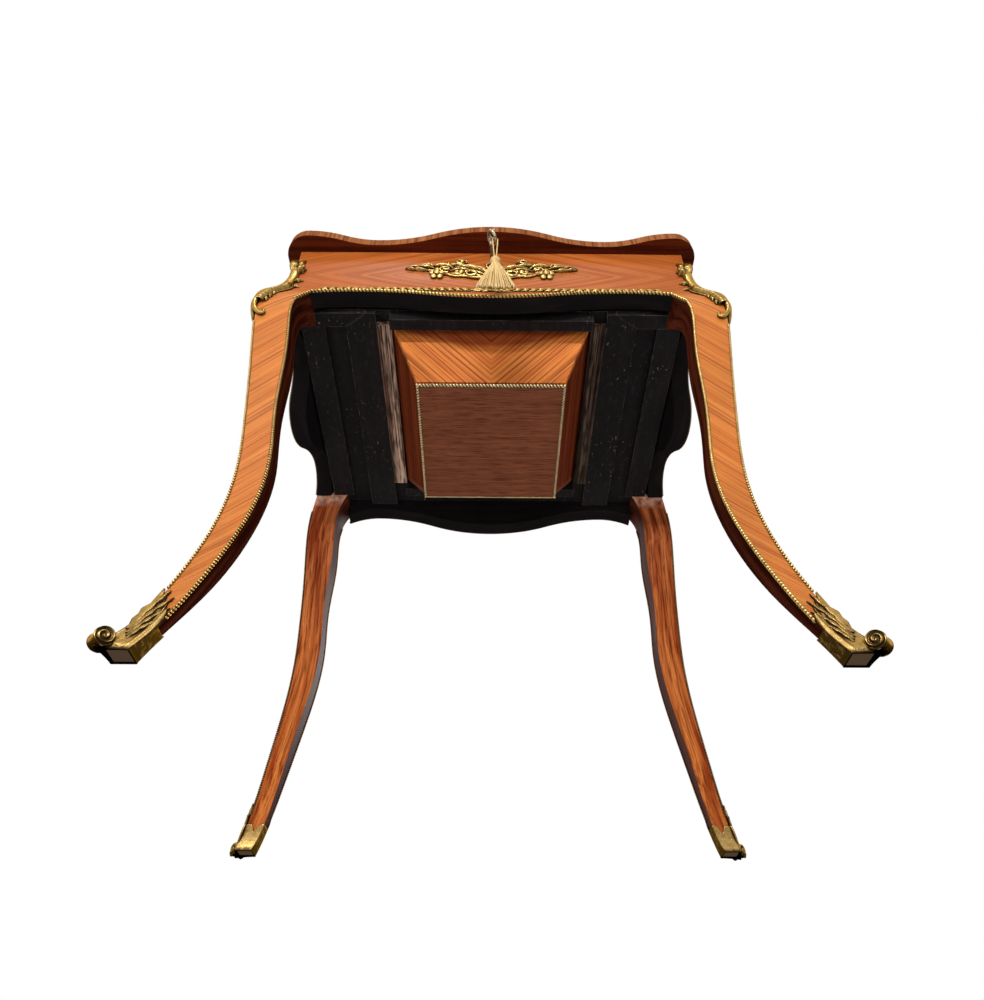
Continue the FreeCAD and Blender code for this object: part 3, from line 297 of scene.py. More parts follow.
for corner in CORNERS:
    side, front = outward(corner)
    tree, shader = new_material(f"{corner}_leg_veneer", POLISHED)
    across, split, facing, place = place_on(tree, "XZY")
    beside = combine(tree, split[1], split[2], split[0])
    outward_y = times(tree, facing[1], front)
    outward_x = times(tree, facing[0], side)
    on_side = calc(tree, "GREATER_THAN", outward_x, calc(tree, "MAXIMUM", outward_y, 0.0))
    on_face = calc(tree, "GREATER_THAN", calc(tree, "MAXIMUM", outward_x, outward_y), OUTWARD)
    vector = add(tree, "Mix", {0: on_side, 4: across, 5: beside}, data_type="VECTOR").outputs[1]
    slanted = place_group(tree, matched_grain, {"Vector": vector, "Turn": LEG_TURN})["Vector"]
    face = wood(tree, slanted, (6, 430, 6), FRONT_WOOD, 0.6)
    post = frieze_veneer(tree, vector)
    outer = mix(tree, spread(tree, split[2], POST_FOOT, POST_FOOT + POST_BLEND), face["Color"], post["Color"])
    drift = leg_drift(tree, split[2])
    along = combine(tree, split[2], calc(tree, "SUBTRACT", split[0], times(tree, drift, side)),
                    calc(tree, "SUBTRACT", split[1], times(tree, drift, front)))
    # Inner faces: plain wood, with painted shade in its much darker colours.
    shaded_inside = wood(tree, along, (6, 460, 460), INSIDE_SHADED_WOOD, 0.6)
    rear = wood(tree, along, (13, 460, 460), REAR_WOOD, 0.65)
    # Painted shade: the front faces of the rear legs darken and cool towards the top, under the case.
    shaded_rear = mix(tree, spread(tree, split[2], REAR_SHADE_FOOT, REAR_SHADE_TOP), rear["Color"], REAR_SHADE, "MULTIPLY")
    patch = noise(tree, place, 90.0, 4.0, 0.35, 0.62)
    rub = times(tree, spread(tree, split[2], SCUFF_FOOT, SCUFF_TOP), patch)
    scuffed = mix(tree, times(tree, rub, 0.6), shaded_rear, SCUFF)
    inner = mix(tree, calc(tree, "LESS_THAN", facing[1], -0.4), shaded_inside["Color"], scuffed)
    sole = calc(tree, "LESS_THAN", facing[2], -0.9)
    colour = mix(tree, sole, mix(tree, on_face, inner, outer), END_GRAIN)
    sheen = times(tree, calc(tree, "LESS_THAN", outward_x, -0.5), REAR_SHEEN if front > 0 else 0.0)
    coat(tree, shader, dull_above(tree, calc(tree, "MAXIMUM", on_face, sheen), split[2]))
    polish(tree, shader, colour, face["Depth"], place, 0.5)
    give(tree, f"leg_{corner}")


# Frieze panels: swelling panels between the legs, veneered in four matched leaves so that the grain
# makes diamonds round the keyhole. Their edges and backs are stained black.
STAIN = (0.012, 0.010, 0.011, 1)
STAIN_WORN = (0.024, 0.018, 0.016, 1)


def stained(tree, vector):
    """Black stain rubbed thin in places, along the grain."""
    streak = noise(tree, stretch(tree, vector, (6, 90, 90)), 1.0, 3.0, 0.5, 0.85)
    return mix(tree, times(tree, streak, 0.8), STAIN, STAIN_WORN)


for panel, order, axis, way in (("front", "XZY", 1, -1), ("back", "XZY", 1, 1),
                                ("left", "YZX", 0, -1), ("right", "YZX", 0, 1)):
    tree, shader = new_material(f"{panel}_frieze_veneer", POLISHED)
    across, split, facing, place = place_on(tree, order)
    veneer = frieze_veneer(tree, across)
    out = calc(tree, "GREATER_THAN", times(tree, facing[axis], way), OUTWARD)
    coat(tree, shader, dull_above(tree, out, split[2]))
    polish(tree, shader, mix(tree, out, stained(tree, across), veneer["Color"]), veneer["Depth"], place, 0.5)
    give(tree, f"panel_{panel}")


# Shoes: cast gilt sleeves round the feet, leaf-edged at the top and drawn out to a scroll at the toe.
# They are hollow below, so that the end of the leg shows in the sole. Leaves and bars of all the mounts
# are measured in millimetres and degrees on the face that carries them.
MM = 0.001
TARNISH_AND_SHADE = (0.020, 0.011, 0.004, 1)
EDGE_TINT = (1.0, 0.68, 0.36, 1)
SHOE_FOOT = 0.0016
SHOE_TOP = 0.09
SHOE_WALL = 0.0022
SHOE_SKIN = SHOE_WALL * 0.6
HEEL_WALL = 0.0010
CORNER_REACH = 0.004
TOE_REACH = 0.017
TOE_PULL = 0.0055
TOE_RISE = 0.040
TOE_RADIUS = 0.0078
TOE_MIDDLE = TOE_RADIUS + 0.0009
TOE_BACK = 0.0010
DIAGONAL = math.sqrt(0.5)
SHOE_LEAVES = (((3, 24), 94, 48, 9.5, -14, 3.6), ((5, 19), 92, 45, 8.5, -26, 3.4),
               ((7, 16), 90, 36, 8, -36, 3.2), ((9, 13), 88, 27, 7.5, -48, 3))
SHOE_RIM = ((1.5, 13.5, 0.7), (3, 7, 1.3), (8, 3.6, 1.4), (13, 4.4, 1.4), (16, 11, 1.4), (16.8, 22, 1.3),
            (15, 31, 1.1), (11.5, 30, 0.9))

# Old gilding: bright where it is raised and rubbed, brown where dirt stays, and darkened in its
# hollows as painted shade.
given = {"Vector": "Vector", "Open": "Float", "Gold": "Color"}
results = {"Color": "Color", "Roughness": "Float", "Height": "Float"}
tree, start, end = new_group("Gilding", given, results)
patch = noise(tree, start["Vector"], 190.0, 4.0, 0.38, 0.72)
speck = noise(tree, start["Vector"], 800.0, 3.0, 0.5, 0.8)
# Painted shade: the less open a point is, by ambient occlusion, the darker it is made.
hollow = spread(tree, start["Open"], 0.96, 0.62)
dirt_and_shade = calc(tree, "ADD", times(tree, patch, 0.5), times(tree, speck, 0.3))
dirt_and_shade = calc(tree, "MINIMUM", calc(tree, "ADD", dirt_and_shade, hollow), 1.0)
fill(tree, end, {"Color": mix(tree, times(tree, dirt_and_shade, 0.95), start["Gold"], TARNISH_AND_SHADE),
                 "Roughness": calc(tree, "MULTIPLY_ADD", dirt_and_shade, 0.3, 0.26), "Height": speck})
gilding = tree


def make_gilt(name, gold, inner_shade=0.0):
    """Gilt metal; a given share of painted shade darkens the sides that face the table's middle plane."""
    tree, shader = new_material(name, {"Metallic": 1.0, "Specular Tint": EDGE_TINT})
    _, split, facing, place = place_on(tree, "XYZ")
    # The ambient occlusion feeds painted shade into the hollows of the gilding.
    near = add(tree, "AmbientOcclusion", {"Distance": 0.006}, samples=8).outputs["AO"]
    # Painted shade on the sides that look inwards, the heel sides of the shoes.
    if inner_shade:
        inward = times(tree, facing[0], calc(tree, "SIGN", split[0]))
        near = calc(tree, "MULTIPLY_ADD", spread(tree, inward, -0.5, -0.8), -inner_shade, near)
    gilt = place_group(tree, gilding, {"Vector": place, "Open": near, "Gold": gold})
    bump = add(tree, "Bump", {"Strength": 0.4, "Distance": 0.0002, "Height": gilt["Height"]})
    fill(tree, shader, {"Base Color": gilt["Color"], "Roughness": gilt["Roughness"],
                        "Normal": bump.outputs[0]})
    return bpy.data.materials[name]


antique_gilt = make_gilt("antique_gilt", (0.66, 0.44, 0.155, 1))
shoe_gilt = make_gilt("shoe_gilt", (0.50, 0.315, 0.105, 1), 0.30)
worn_gilt = make_gilt("worn_gilt", (0.46, 0.30, 0.098, 1))
# A brightened copy of the gilt that stands in as painted light.
pale_gilt = make_gilt("pale_gilt", (0.90, 0.70, 0.39, 1))
# A dark copy of the gilt that stands in as painted shade.
dark_gilt = make_gilt("dark_gilt", (0.20, 0.12, 0.05, 1))


def table_of(low, high, count, measure):
    """Measured values at even steps. Returns a function that reads between them."""
    values = [measure(place) for place in steps(low, high, count)]

    def read(place):
        spot = min(max((place - low) / (high - low), 0), 1) * (count - 1)
        index = min(int(spot), count - 2)
        return values[index].lerp(values[index + 1], spot - index)

    return read


def leg_table(corner, low, high, count):
    """A leg's edges by height, as (outer x, outer y, inner x, inner y), and which way the leg lies."""
    side_x, side_y = outward(corner)

    def measure(height):
        least, most = slice_box(f"leg_{corner}", 2, height)
        outer_x, inner_x = (least.x, most.x) if side_x < 0 else (most.x, least.x)
        outer_y, inner_y = (least.y, most.y) if side_y < 0 else (most.y, least.y)
        return Vector((outer_x, outer_y, inner_x, inner_y))

    return table_of(low, high, count, measure), side_x, side_y


def formed_grid(columns, rows, shape):
    """A smooth sheet whose points are placed by shape(u, v), with u and v from 0 to 1."""
    bpy.ops.mesh.primitive_grid_add(x_subdivisions=columns, y_subdivisions=rows, size=2)
    sheet = bpy.context.object
    for vertex in sheet.data.vertices:
        vertex.co = shape((vertex.co.x + 1) / 2, (vertex.co.y + 1) / 2)
    bpy.ops.object.shade_smooth()
    return sheet


def thicken(sheet, depth):
    """Give the sheet that was just made a thickness."""
    shell = sheet.modifiers.new("shell", "SOLIDIFY")
    shell.thickness = depth
    shell.offset = 0
    bpy.ops.object.modifier_apply(modifier="shell")
    return sheet


def pick(pieces):
    """Select pieces and make the first one active."""
    bpy.ops.object.select_all(action="DESELECT")
    for piece in pieces:
        piece.select_set(True)
    bpy.context.view_layer.objects.active = pieces[0]


def join(pieces):
    pick(pieces)
    bpy.ops.object.join()
    return bpy.context.object


def turn_out(piece):
    """Make all faces of a closed or open piece point one way, outwards."""
    pick([piece])
    bpy.ops.object.mode_set(mode="EDIT")
    bpy.ops.mesh.select_all(action="SELECT")
    bpy.ops.mesh.normals_make_consistent(inside=False)
    bpy.ops.object.mode_set(mode="OBJECT")
    return piece


def finish_piece(piece, name, material, stands_for=None, body="case"):
    """Name a finished piece, dress it and tie it to its body."""
    piece.name = name
    piece.data.name = name
    piece.data.materials.clear()
    piece.data.materials.append(material)
    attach(piece, body)
    if stands_for:
        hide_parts(stands_for)


def bump_at(value, middle, width):
    return math.exp(-((value - middle) / width) ** 2)


def ease(value, low, high):
    part = min(max((value - low) / (high - low), 0), 1)
    return part * part * (3 - 2 * part)


def leaf(place, start, angle, length, width, bend, rise, lobes=3):
    """A leaf on a surface: it starts at a point, runs at an angle, bends, and has lobed edges and a vein."""
    angle, bend = math.radians(angle), math.radians(bend)

    def shape(u, v):
        across = 2 * v - 1
        turn = angle + bend * u
        if abs(bend) < 0.01:
            x = start[0] + length * u * math.cos(angle)
            z = start[1] + length * u * math.sin(angle)
        else:
            x = start[0] + length / bend * (math.sin(turn) - math.sin(angle))
            z = start[1] - length / bend * (math.cos(turn) - math.cos(angle))
        half = width / 2 * math.sin(math.pi * (0.08 + 0.9 * u)) ** 0.7
        half *= 0.76 + 0.24 * math.cos(2 * math.pi * lobes * u)
        crown = math.sin(math.pi * (0.15 + 0.8 * u)) * (1 - across * across)
        lift = rise * (0.15 + 0.85 * crown) - 0.7 * bump_at(across, 0, 0.18) - 0.9 * abs(across) ** 6
        x -= math.sin(turn) * across * half
        z += math.cos(turn) * across * half
        return place(x * MM, z * MM, lift * MM)

    return formed_grid(16, 8, shape)


def strand_on(place, table, lift=0.0, share=0.0):
    """A bar on a surface through (across, height, radius), lifted also by a share of its radius."""
    return [(place(across * MM, height * MM, (lift + share * radius) * MM), radius * MM)
            for across, height, radius in table]


def new_object(name, data):
    made = bpy.data.objects.new(name, data)
    bpy.context.scene.collection.objects.link(made)
    return made


def curve_along(name, strands, kind="NURBS"):
    """A curve along strands, each a list of (point, radius)."""
    curve = bpy.data.curves.new(name, "CURVE")
    curve.dimensions = "3D"
    for strand in strands:
        line = curve.splines.new(kind)
        line.points.add(len(strand) - 1)
        for spot, (point, radius) in zip(line.points, strand):
            spot.co = (*point, 1)
            spot.radius = radius
        line.order_u = 3
        line.use_endpoint_u = True
    return new_object(name, curve)


def tubes(strands, smooth=4):
    """Round bars along strands."""
    bars = curve_along("bars", strands)
    bars.data.bevel_depth = 1
    bars.data.bevel_resolution = 2
    bars.data.resolution_u = smooth
    bars.data.use_fill_caps = True
    pick([bars])
    bpy.ops.object.convert(target="MESH")
    bpy.ops.object.shade_smooth()
    return bpy.context.object


def round_corner(edges, side_x, side_y, across, height, lift, pull=0.0):
    """A point by its way round a leg's corner: along the front from zero up, along the side below zero."""
    outer_x, outer_y, _, _ = edges(height)
    out = lift + pull
    inward = abs(across) - pull - lift * max(0, 1 - abs(across) / CORNER_REACH)
    if across >= 0:
        return (outer_x - side_x * inward, outer_y + side_y * out, height)
    return (outer_x + side_x * out, outer_y - side_y * inward, height)


def toe_pull(height):
    """How far the toe is drawn out at a height."""
    return TOE_PULL * max(0, 1 - height / TOE_RISE) ** 2


for corner in CORNERS:
    leg = leg_table(corner, SHOE_FOOT, SHOE_TOP, 20)
    edges, side_x, side_y = leg

    def sleeve(u, v):
        """A point of the sleeve: round the inner, front, side and inner face, and up."""
        face = min(int(u * 4), 3)
        part = u * 4 - face
        leafy = face in (1, 2)
        from_edge = part if face == 1 else 1 - part
        if leafy:
            top = 0.034 + 0.034 * from_edge + 0.007 * abs(math.sin(3.5 * math.pi * from_edge))
        elif face == 3:
            top = 0.029 - 0.008 * bump_at(part, 0.55, 0.16)
        else:
            top = 0.028
        height = 0.0002 + v * top
        outer_x, outer_y, inner_x, inner_y = edges(height)
        wall = SHOE_WALL - 0.0012 * v
        near_x, near_y = inner_x - side_x * HEEL_WALL, inner_y - side_y * HEEL_WALL
        far_x, far_y = outer_x + side_x * wall, outer_y + side_y * wall
        corners = ((near_x, near_y), (near_x, far_y), (far_x, far_y), (far_x, near_y), (near_x, near_y))
        x, y = Vector(corners[face]).lerp(Vector(corners[face + 1]), part)
        if leafy:
            pull = toe_pull(height) * from_edge ** 2
            inset = (max(from_edge, 0.02) ** -4 + max(v * 1.4, 0.02) ** -4) ** -0.25
            relief = 0.0014 * bump_at(inset, 0.16, 0.06) - 0.0006 * ease(inset, 0.2, 0.4)
            relief += 0.0018 * ease(v, 0.5, 0.95) * abs(math.sin(4.5 * math.pi * from_edge))
            x += side_x * (pull + (relief if face == 2 else 0))
            y += side_y * (pull + (relief if face == 1 else 0))
        return (x, y, height)

    outer_x, outer_y, _, _ = edges(SHOE_FOOT)
    toe_x = outer_x + side_x * TOE_PULL
    toe_y = outer_y + side_y * TOE_PULL

    def on_toe(reach, across, height):
        """A point by its reach out along the diagonal of the foot and its way across it."""
        x = toe_x + side_x * DIAGONAL * (reach - TOE_BACK + across)
        return (x, toe_y + side_y * DIAGONAL * (reach - TOE_BACK - across), height)

    def scroll(u, v):
        angle = math.radians(-150 + 560 * u)
        radius = TOE_RADIUS * (1 - 0.62 * u) + 0.0009 * abs(2 * v - 1) ** 3
        across = (v - 0.5) * (0.014 - 0.004 * u)
        return on_toe(radius * math.cos(angle), across, TOE_MIDDLE + radius * math.sin(angle))

    parts = [thicken(formed_grid(96, 26, sleeve), 0.0011), thicken(formed_grid(40, 8, scroll), 0.0016)]
    rims = []
    for way in (1, -1):
        def roll_end(u, v):
            angle = math.tau * u
            radius = TOE_RADIUS * 0.96 * v
            wound = 0.0010 * math.cos(way * angle - math.tau * 1.7 * v) * min(1, 3 * v)
            out = way * (0.0068 + 0.0010 * (1 - v) + wound)
            return on_toe(radius * math.cos(angle), out, TOE_MIDDLE + radius * math.sin(angle))

        def on_face(across, height, lift):
            pull = toe_pull(height) * max(0, 1 - abs(across) / TOE_REACH) ** 2
            return round_corner(*leg, way * across, height, SHOE_SKIN + lift, pull)

        parts.append(formed_grid(40, 16, roll_end))
        parts += [leaf(on_face, *row, 4) for row in SHOE_LEAVES]
        rims.append(strand_on(on_face, SHOE_RIM, 0.6))
    parts.append(tubes(rims))
    finish_piece(turn_out(join(parts)), f"shoe_{corner}", shoe_gilt, f"sabot_{corner}")


# Knee mounts: cast gilt foliage on the corners of the case, curled leaves above a narrow neck and a
# jagged band that follows the swelling corner down to a scroll on the knee.
MOUNT_FOOT = 0.472
MOUNT_TOP = 0.704
RIB_TOP = 0.660
RIB_LENGTH = 0.128
KNEE_LEAVES = (
    ((1, 652), 94, 36, 11, -8, 9.6), ((4, 660), 84, 30, 11, -16, 7), ((4, 650), 70, 18, 12, -40, 11.2),
    ((3, 626), 30, 14, 10.5, -30, 6), ((8, 606), 8, 12, 8, -40, 4.4), ((8, 562), -30, 11, 7.5, -60, 5),
    ((7, 552), -34, 11, 7.5, -60, 5), ((5, 543), -38, 11, 7.5, -60, 5))
KNEE_CURL = ((10, 661), 4, 190, -1.2, 1.6, 6.2, 0.6)
KNEE_RIM = ((7, 612, 1.3), (12.5, 603, 1.3), (14, 590, 1.3), (13.8, 577, 1.3), (12.8, 564, 1.3),
            (10, 551, 1.3), (6, 543, 1.3))
KNEE_SCROLL = ((3, 549, 2.2), (1, 541, 3.4), (0, 527, 3.6), (1, 512, 3.2), (5, 503, 2.8), (10, 502, 2.5),
               (12, 508, 2.3), (9.5, 512, 2))


def volute(place, middle, radius, start, turns, thick, lift, shrink=0.75):
    """A strand that winds in to the middle of a scroll on a surface."""
    strand = []
    for part in steps(0, 1, 15):
        angle = math.radians(start) + math.tau * turns * part
        reach = radius * (1 - shrink * part)
        x = middle[0] + reach * math.cos(angle)
        z = middle[1] + reach * math.sin(angle)
        strand.append((place(x * MM, z * MM, lift * (1 + 0.5 * part) * MM), thick * (0.75 + 0.5 * part) * MM))
    return strand


for corner in CORNERS:
    leg = leg_table(corner, MOUNT_FOOT, MOUNT_TOP, 40)

    def rib(u, v):
        """A point of the band: down the corner, and round it from face to face."""
        across = 2 * v - 1
        half = 0.0078 - 0.0022 * ease(u, 0, 0.2) + 0.0068 * ease(u, 0.36, 0.50) - 0.0050 * ease(u, 0.8, 1)
        crown = 1 - abs(across) ** 3
        leafy = abs(math.sin(17 * math.pi * (u + 0.10 * abs(across)))) * ease(u, 0.3, 0.5)
        fold = 0.0022 * leafy * bump_at(abs(across), 0.55, 0.3) - 0.0010 * bump_at(across, 0, 0.12)
        return round_corner(*leg, across * half, RIB_TOP - RIB_LENGTH * u, 0.0007 + 0.0058 * crown + fold)

    parts = [formed_grid(130, 28, rib)]
    strands = []
    for way in (1, -1):
        def beside(across, height, lift):
            return round_corner(*leg, way * across, height, lift)

        parts += [leaf(beside, *row, 2) for row in KNEE_LEAVES]
        strands.append(volute(beside, *KNEE_CURL))
        strands.append(strand_on(beside, KNEE_RIM, 1.6))
        strands.append(strand_on(beside, KNEE_SCROLL, share=1.1))
    parts.append(tubes(strands))
    finish_piece(turn_out(join(parts)), f"knee_mount_{corner}", worn_gilt, f"chute_{corner}")


# Rope beads: gilt cord mouldings pinned along the edges of the legs and the aprons, slim on the rear legs
# and on the side and back aprons, where a dark copy of the gilt is painted shade. One leaning strand is
# repeated along each edge; the outer corners of the legs carry pearls.
STRAND_LEAN = math.radians(38)
STRAND_LONG = 1.75
BEAD_PITCH = 0.0042
BEAD_RADIUS = 0.0021
FRONT_SLIM = 0.88
REAR_SLIM = 0.62
PEARL_PITCH = 0.0038
PEARL_RADIUS = 0.0019
APRON_PITCH = 0.0050
APRON_RADIUS = 0.0026
APRON_SLIM = 0.75
ROPE_FOOT = 0.040
ANKLE, SHOULDER = [end.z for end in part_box("leg_inner_beads")]
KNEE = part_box("leg_corner_beads")[1].z + 0.01


def repeat(piece, pitch):
    """A row of a piece along X."""
    row = piece.modifiers.new("row", "ARRAY")
    row.use_relative_offset = False
    row.use_constant_offset = True
    row.constant_offset_displace = (pitch, 0, 0)
    return row


def rope_along(points, pitch, radius, lean=STRAND_LEAN, long=STRAND_LONG):
    """A rope of leaning strands along a line of points."""
    path = curve_along("rope_line", [[(point, 1) for point in points]], "POLY")
    bpy.ops.mesh.primitive_uv_sphere_add(segments=8, ring_count=6, radius=radius)
    rope = bpy.context.object
    rope.scale = (long, 0.8, 1.0)
    rope.rotation_euler = (0, 0, lean)
    bpy.ops.object.transform_apply()
    bpy.ops.object.shade_smooth()
    row = repeat(rope, pitch)
    row.fit_type = "FIT_CURVE"
    row.curve = path
    rope.modifiers.new("bend", "CURVE").object = path
    for modifier in ("row", "bend"):
        bpy.ops.object.modifier_apply(modifier=modifier)
    bpy.data.objects.remove(path)
    return rope


front_ropes = []
rear_ropes = []
corner_ropes = []
rope_ends = {}
for corner in CORNERS:
    edges, _, _ = leg_table(corner, ROPE_FOOT, SHOULDER, 28)
    outer_edge, face_edge, side_edge = [], [], []
    for height in steps(ROPE_FOOT, SHOULDER, 28):
        outer_x, outer_y, inner_x, inner_y = edges(height)
        if ANKLE <= height <= KNEE:
            outer_edge.append((outer_x, outer_y, height))
        face_edge.append((inner_x, outer_y, height))
        side_edge.append((outer_x, inner_y, height))
    corner_ropes.append(rope_along(outer_edge, PEARL_PITCH, PEARL_RADIUS, 0.0, 1.0))
    ropes, slim = (front_ropes, FRONT_SLIM) if corner.startswith("front") else (rear_ropes, REAR_SLIM)
    for edge in (face_edge, side_edge):
        ropes.append(rope_along(edge, BEAD_PITCH * slim, BEAD_RADIUS * slim))
    rope_ends[corner] = face_edge[-1]
finish_piece(join(corner_ropes), "leg_corner_pearls", antique_gilt, "leg_corner_beads")
finish_piece(join(front_ropes), "front_leg_ropes", antique_gilt, "leg_inner_beads")
finish_piece(join(rear_ropes), "rear_leg_ropes", dark_gilt)

for side, axis in (("front", 0), ("back", 0), ("left", 1), ("right", 1)):
    bead = f"apron_bead_{side}"
    low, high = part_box(bead)
    line = []
    for place in steps(low[axis] + 0.0005, high[axis] - 0.0005, 60):
        cut_low, cut_high = slice_box(bead, axis, place)
        line.append((cut_low + cut_high) / 2)
    gilt, slim = dark_gilt, APRON_SLIM
    if side == "front":
        gilt, slim = antique_gilt, 1.0
        line = [rope_ends["front_left"], *line, rope_ends["front_right"]]
    rope = rope_along(line, APRON_PITCH * slim, APRON_RADIUS * slim)
    finish_piece(rope, f"apron_rope_{side}", gilt, bead)


# Escutcheon: a cast gilt spray round the keyhole, leaves at the middle, scrolls, flowers and a bud at
# each end, pinned to the frieze. The left half is the right half turned over.
KEY_HEIGHT = 0.676
KEYHOLE_WIDE = 0.0075
KEYHOLE_HIGH = 0.010
KEYHOLE_RIM = 0.0018
PANEL_FOOT = 0.546
PANEL_TOP = 0.718
PETAL = 0.42
SPRAY_STRETCH = 1.27
SPRAY_SLIM = 0.47
SPRAY_RISE = 6.2
SPRAY_LEAVES = (
    ((3, 648), 80, 42, 18, -60), ((3, 644), 45, 40, 18, -20), ((4, 641), 15, 34, 15, 35),
    ((12, 664), 50, 34, 16, -70), ((22, 660), 30, 28, 14, -50), ((26, 672), 35, 30, 14, -55),
    ((30, 650), -15, 22, 13, 50), ((44, 668), 60, 26, 14, -80), ((46, 676), 15, 26, 12, -40),
    ((50, 652), -10, 20, 12, 45), ((66, 668), 35, 24, 12, -50), ((72, 662), 5, 22, 11, 20),
    ((80, 668), 20, 20, 10, -30), ((86, 664), 8, 14, 8, 10))
SPRAY_FLOWERS = (((34.5, 656), 8.5), ((62.5, 654), 9.5), ((50, 680), 5.5))
SPRAY_SCROLLS = (((22, 650), 8.5, 120, -1.3, 2.2, 3.6), ((36, 684), 7.5, 200, -1.2, 1.8, 3.2),
                 ((53, 663), 8, 250, 1.2, 1.8, 3.2), ((75, 674), 6.5, 190, -1.1, 1.7, 2.8))
SPRAY_STEM = ((5, 642, 2.2), (20, 641, 2.1), (31, 648, 1.9), (45, 645, 1.8), (58, 662, 1.6), (76, 663, 1.5),
              (97, 668, 1))


def flower(place, middle, size, petals=5, tall=1.0):
    """Round petals and a button on a surface."""
    made = []
    spots = [(0, 0, 0.75)]
    for index in range(petals):
        angle = math.tau * (index + 0.25) / petals
        spots.append((0.62 * math.cos(angle), 0.62 * math.sin(angle), 0.35))
    for x, z, lift in spots:
        bpy.ops.mesh.primitive_uv_sphere_add(segments=10, ring_count=7, radius=size * PETAL)
        petal = bpy.context.object
        for vertex in petal.data.vertices:
            across = middle[0] + size * x + vertex.co.x
            height = middle[1] + (size * z + vertex.co.z) * tall
            vertex.co = place(across * MM, height * MM, (size * lift * 0.6 + vertex.co.y * 0.7) * MM)
        bpy.ops.object.shade_smooth()
        made.append(petal)
    return made


front_face = table_of(PANEL_FOOT, PANEL_TOP, 60, lambda height: slice_box("panel_front", 2, height)[0])


def on_front(x, z, lift):
    return (x, front_face(z).y - lift, z)


sprays = []
strands = []
for way in (1, -1):
    def beside_key(x, z, lift):
        return on_front(way * SPRAY_STRETCH * x, z, lift)

    for start, angle, length, width, bend in SPRAY_LEAVES:
        sprays.append(leaf(beside_key, start, angle, length, width * SPRAY_SLIM, bend, SPRAY_RISE))
    for middle, size in SPRAY_FLOWERS:
        sprays += flower(beside_key, middle, size, 5, 1.5)
    strands += [volute(beside_key, *row) for row in SPRAY_SCROLLS]
    strands.append(strand_on(beside_key, SPRAY_STEM, share=1.2))
    for part in range(6):
        sprays += flower(beside_key, (80 + 3.4 * part, 666 + 0.4 * part), 3.6 - 0.4 * part, 3, 1.4)
rim = []
for angle in steps(0, math.tau, 21):
    x = KEYHOLE_WIDE * math.cos(angle)
    rim.append((on_front(x, KEY_HEIGHT + KEYHOLE_HIGH * math.sin(angle), KEYHOLE_RIM), KEYHOLE_RIM))
sprays.append(tubes([*strands, rim]))
finish_piece(turn_out(join(sprays)), "escutcheon_spray", antique_gilt, "escutcheon")


# Foliate strip: a chain of small gilt leaves along the bottom of the frieze, with a rosette between two
# sprays in the middle. One pair of leaves is modelled and repeated.
STRIP_LEVEL = sum(end.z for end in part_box("frieze_strip")) / 2 / MM
STRIP_PITCH = 0.0108
STRIP_REACH = 0.236
STRIP_GAP = 0.030
STRIP_RISE = 4.2

chain = []
for way in (1, -1):
    pair = [leaf(on_front, (0, STRIP_LEVEL - turn), 50 * turn, 15, 8.6, -45 * turn, STRIP_RISE, 2)
            for turn in (1, -1)]
    unit = join(pair + flower(on_front, (8, STRIP_LEVEL), 2.6, 3))
    for vertex in unit.data.vertices:
        vertex.co.x = way * (vertex.co.x - STRIP_REACH)
    repeat(unit, way * STRIP_PITCH).count = int((STRIP_REACH - STRIP_GAP) / STRIP_PITCH)
    bpy.ops.object.modifier_apply(modifier="row")
    chain.append(unit)
for way in (0, 180):
    for turn, length in ((0, 34), (28, 28), (-28, 28), (60, 17), (-60, 17)):
        chain.append(leaf(on_front, (0, STRIP_LEVEL), way + turn, length, 10.5, -turn * 0.8, STRIP_RISE))
chain += flower(on_front, (0, STRIP_LEVEL), 8.5, 6)
finish_piece(turn_out(join(chain)), "frieze_chain", antique_gilt, "frieze_strip")


# Case bottom: floors, side boards, bearers, corner blocks and bars of deal stained black, with bare
# rails beside the well that the stain has only streaked.
PINE_WOOD = ((0.95, 0.66, 0.49, 1), (0.20, 0.105, 0.07, 1), (0.03, 0.015, 0.01, 1))
RUBBED_WOOD = (0.42, 0.37, 0.32, 1)
DULL_WOOD = {"Specular IOR Level": 0.06}

tree, shader = new_material("black_stain", DULL_WOOD)
vector, _, _, place = place_on(tree, "YXZ")
where = noise(tree, place, 14.0, 2.0, 0.47, 0.62)
drawn = stretch(tree, vector, (170, 300, 300))
chip = times(tree, noise(tree, drawn, 1.0, 5.0, 0.66, 0.70), where)
rounded = add(tree, "Bevel", {"Radius": 0.0012}, samples=4).outputs[0]
flat = add(tree, "NewGeometry", {}).outputs["Normal"]
edge = add(tree, "VectorMath", {0: rounded, 1: flat}, operation="DOT_PRODUCT").outputs["Value"]
patch = noise(tree, place, 60.0, 4.0, 0.35, 0.65)
rubbed = times(tree, spread(tree, edge, 0.97, 0.80), patch)
bare = times(tree, calc(tree, "MAXIMUM", chip, rubbed), 0.45)
dust = times(tree, noise(tree, drawn, 0.5, 6.0, 0.55, 0.75), 0.03)
colour = mix(tree, calc(tree, "MAXIMUM", bare, dust), stained(tree, vector), RUBBED_WOOD)
polish(tree, shader, colour, chip, place, 0.55, 0.0003)
give(tree, "floor_front", "floor_back", "front_bar", "rear_bar",
     *[f"{piece}_{side}" for piece in ("floor", "side_board", "bearer", "corner_block")
       for side in ("left", "right")])

